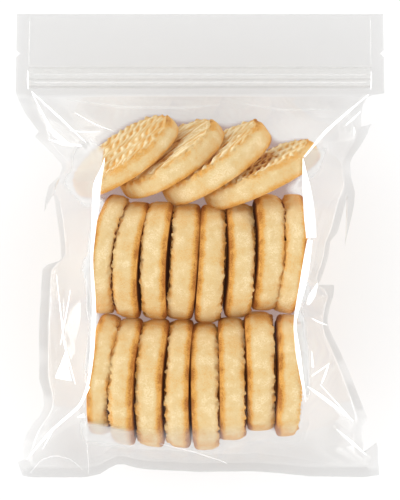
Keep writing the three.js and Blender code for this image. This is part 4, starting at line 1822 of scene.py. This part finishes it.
    def build(self, cloud: Array, material: Material) -> Piece:
        """The film's object: both sheets, joined round the outer edge.

        Args:
            cloud: The biscuits' points, which the film lies over.
            material: The film's finish.

        Returns:
            The object.
        """
        x, y, front, back, inwards = self.sheets(cloud)
        station = np.broadcast_to(self.stations()[:, None], x.shape)
        rows, columns = x.shape
        half = self.half_distance(x, station, inwards)
        bottom = -self.length / 2
        lift = along(self.bottom_lift, x) * (1.0 - smoothstep(station, bottom, bottom + self.lift_reach))
        tops = np.stack([x, y + lift, front + half], axis=-1)
        unders = np.stack([x, y + lift, np.maximum(back - half, 0.0)], axis=-1)
        ring = np.zeros(x.shape, dtype=bool)
        ring[0, :] = ring[-1, :] = ring[:, 0] = ring[:, -1] = True
        tops[ring, 2] = (tops[ring, 2] + unders[ring, 2]) / 2.0
        number = np.arange(rows * columns).reshape(rows, columns)
        below = np.where(ring, number, 0)
        below[~ring] = rows * columns + np.arange(int((~ring).sum()))
        faces = grid_quads(rows, columns)
        under_faces = below.ravel()[faces][:, ::-1]
        points = np.concatenate([tops.reshape(-1, 3), unders[~ring]])
        values = {"seal": self.film_density_and_shade(x, station, inwards), "haze_and_highlight": self.haze_and_highlight(x, y), "touch": self.touch}
        values = {title: np.concatenate([v.ravel(), v[~ring]]) for title, v in values.items()}
        values["haze_and_highlight"][rows * columns :] = 0.0
        values["under_shade"] = np.concatenate([np.zeros(rows * columns), self.under_shade[~ring]])
        self.top = FilmTop(x, self.stations(), tops[..., 2], tops[..., 1] - y)
        piece = make_piece("pouch_film", points, np.concatenate([faces, under_faces]), values)
        edge_ends = np.empty(len(piece.data.edges) * 2, dtype=np.int32)
        piece.data.edges.foreach_get("vertices", edge_ends)
        on_ring = np.zeros(len(points), dtype=bool)
        on_ring[number[ring]] = True
        sharp = on_ring[edge_ends.reshape(-1, 2)].all(axis=1)
        piece.data.attributes.new("sharp_edge", "BOOLEAN", "EDGE").data.foreach_set("value", sharp)
        piece.data.materials.append(material)
        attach(piece, BODY)
        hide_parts("pouch")
        return piece


# ---- stage ---------------------------------------------------------------------------------------


@dataclass
class Studio:
    """The floor, the soft studio all round and the camera that looks straight down."""

    floor_size: float = 60.0
    floor_z: float = -0.05  # millimetres
    view_height: float = 1.1
    view_y: float = -0.0019
    lens: float = 143.0
    sensor: float = 36.0
    dome: float = 0.85
    ring: float = 3.0
    zenith: float = 0.02
    # degrees from straight up where the dome starts and is full, the ring starts and is full, and so back
    rises: tuple[float, ...] = (16.0, 34.0, 52.0, 58.0, 74.0, 80.0)
    ring_lean: tuple[float, float] = (-0.25, 1.2)  # what +X adds to the ring's strength, and the rest

    def sky(self) -> bpy.types.World:
        """A soft studio all round: a dome of light, dark overhead, with a brighter ring low down.

        Film that lies flat mirrors the dark opening and stays clear, and film that is tilted by about
        thirty degrees mirrors the ring.

        Returns:
            The world.
        """
        world = bpy.data.worlds.new("studio")
        world.use_nodes = True
        tree = world.node_tree
        make = Nodes(tree)
        split = make.add("SeparateXYZ")
        make.set(split, {0: make.add("TexCoord").outputs["Generated"]})
        angle = make.math("ARCCOSINE", split.outputs["Z"])
        away = [math.radians(a) for a in self.rises]
        dome = make.spread(angle, away[0], away[1], (self.zenith, self.dome))
        rise = make.spread(angle, away[2], away[3], (0.0, self.ring))
        fall = make.spread(angle, away[4], away[5], (1.0, 0.0))
        lean = make.math("MULTIPLY_ADD", split.outputs["X"], *self.ring_lean)
        sideways = make.math("MULTIPLY", make.math("ABSOLUTE", split.outputs["X"]), lean)
        ring = make.math("MULTIPLY", make.math("MULTIPLY", rise, fall), sideways)
        make.set(tree.nodes["Background"], {0: WHITE, 1: make.math("ADD", dome, ring)})
        return world

    def build(self) -> None:
        """Makes the floor, the world and the camera."""
        half, low = self.floor_size / 2 / MM, self.floor_z
        corners = np.array([(-half, -half, low), (half, -half, low), (half, half, low), (-half, half, low)])
        floor = make_piece("floor", corners, np.array([[0, 1, 2, 3]]), {})
        floor.data.materials.append(FloorFinish().build())
        scene = bpy.context.scene
        scene.world = self.sky()
        scene.view_settings.view_transform = "Standard"
        lens = bpy.data.cameras.new("view")
        lens.lens = self.lens
        lens.sensor_width = self.sensor
        camera = bpy.data.objects.new("view", lens)
        camera.location = (0.0, self.view_y, self.view_height)
        scene.collection.objects.link(camera)
        scene.camera = camera


def main() -> None:
    """Builds the stage, the biscuits and the pouch."""
    Studio().build()
    mottle = mottle_group()
    cloud = Contents().build(BakedFinish().build(mottle))
    pouch = Pouch()
    film = pouch.build(cloud, FilmFinish().build())
    log.info("%s: %d faces", film.name, len(film.data.polygons))
    glints = PaintedGlints().build(pouch.top, GlintFinish().build())
    log.info("%s: %d faces", glints.name, len(glints.data.polygons))
    strip = pouch.zip_strip.build(pouch.header_height, ZipFinish().build())
    log.info("%s: %d faces", strip.name, len(strip.data.polygons))


if __name__ == "__main__":
    main()
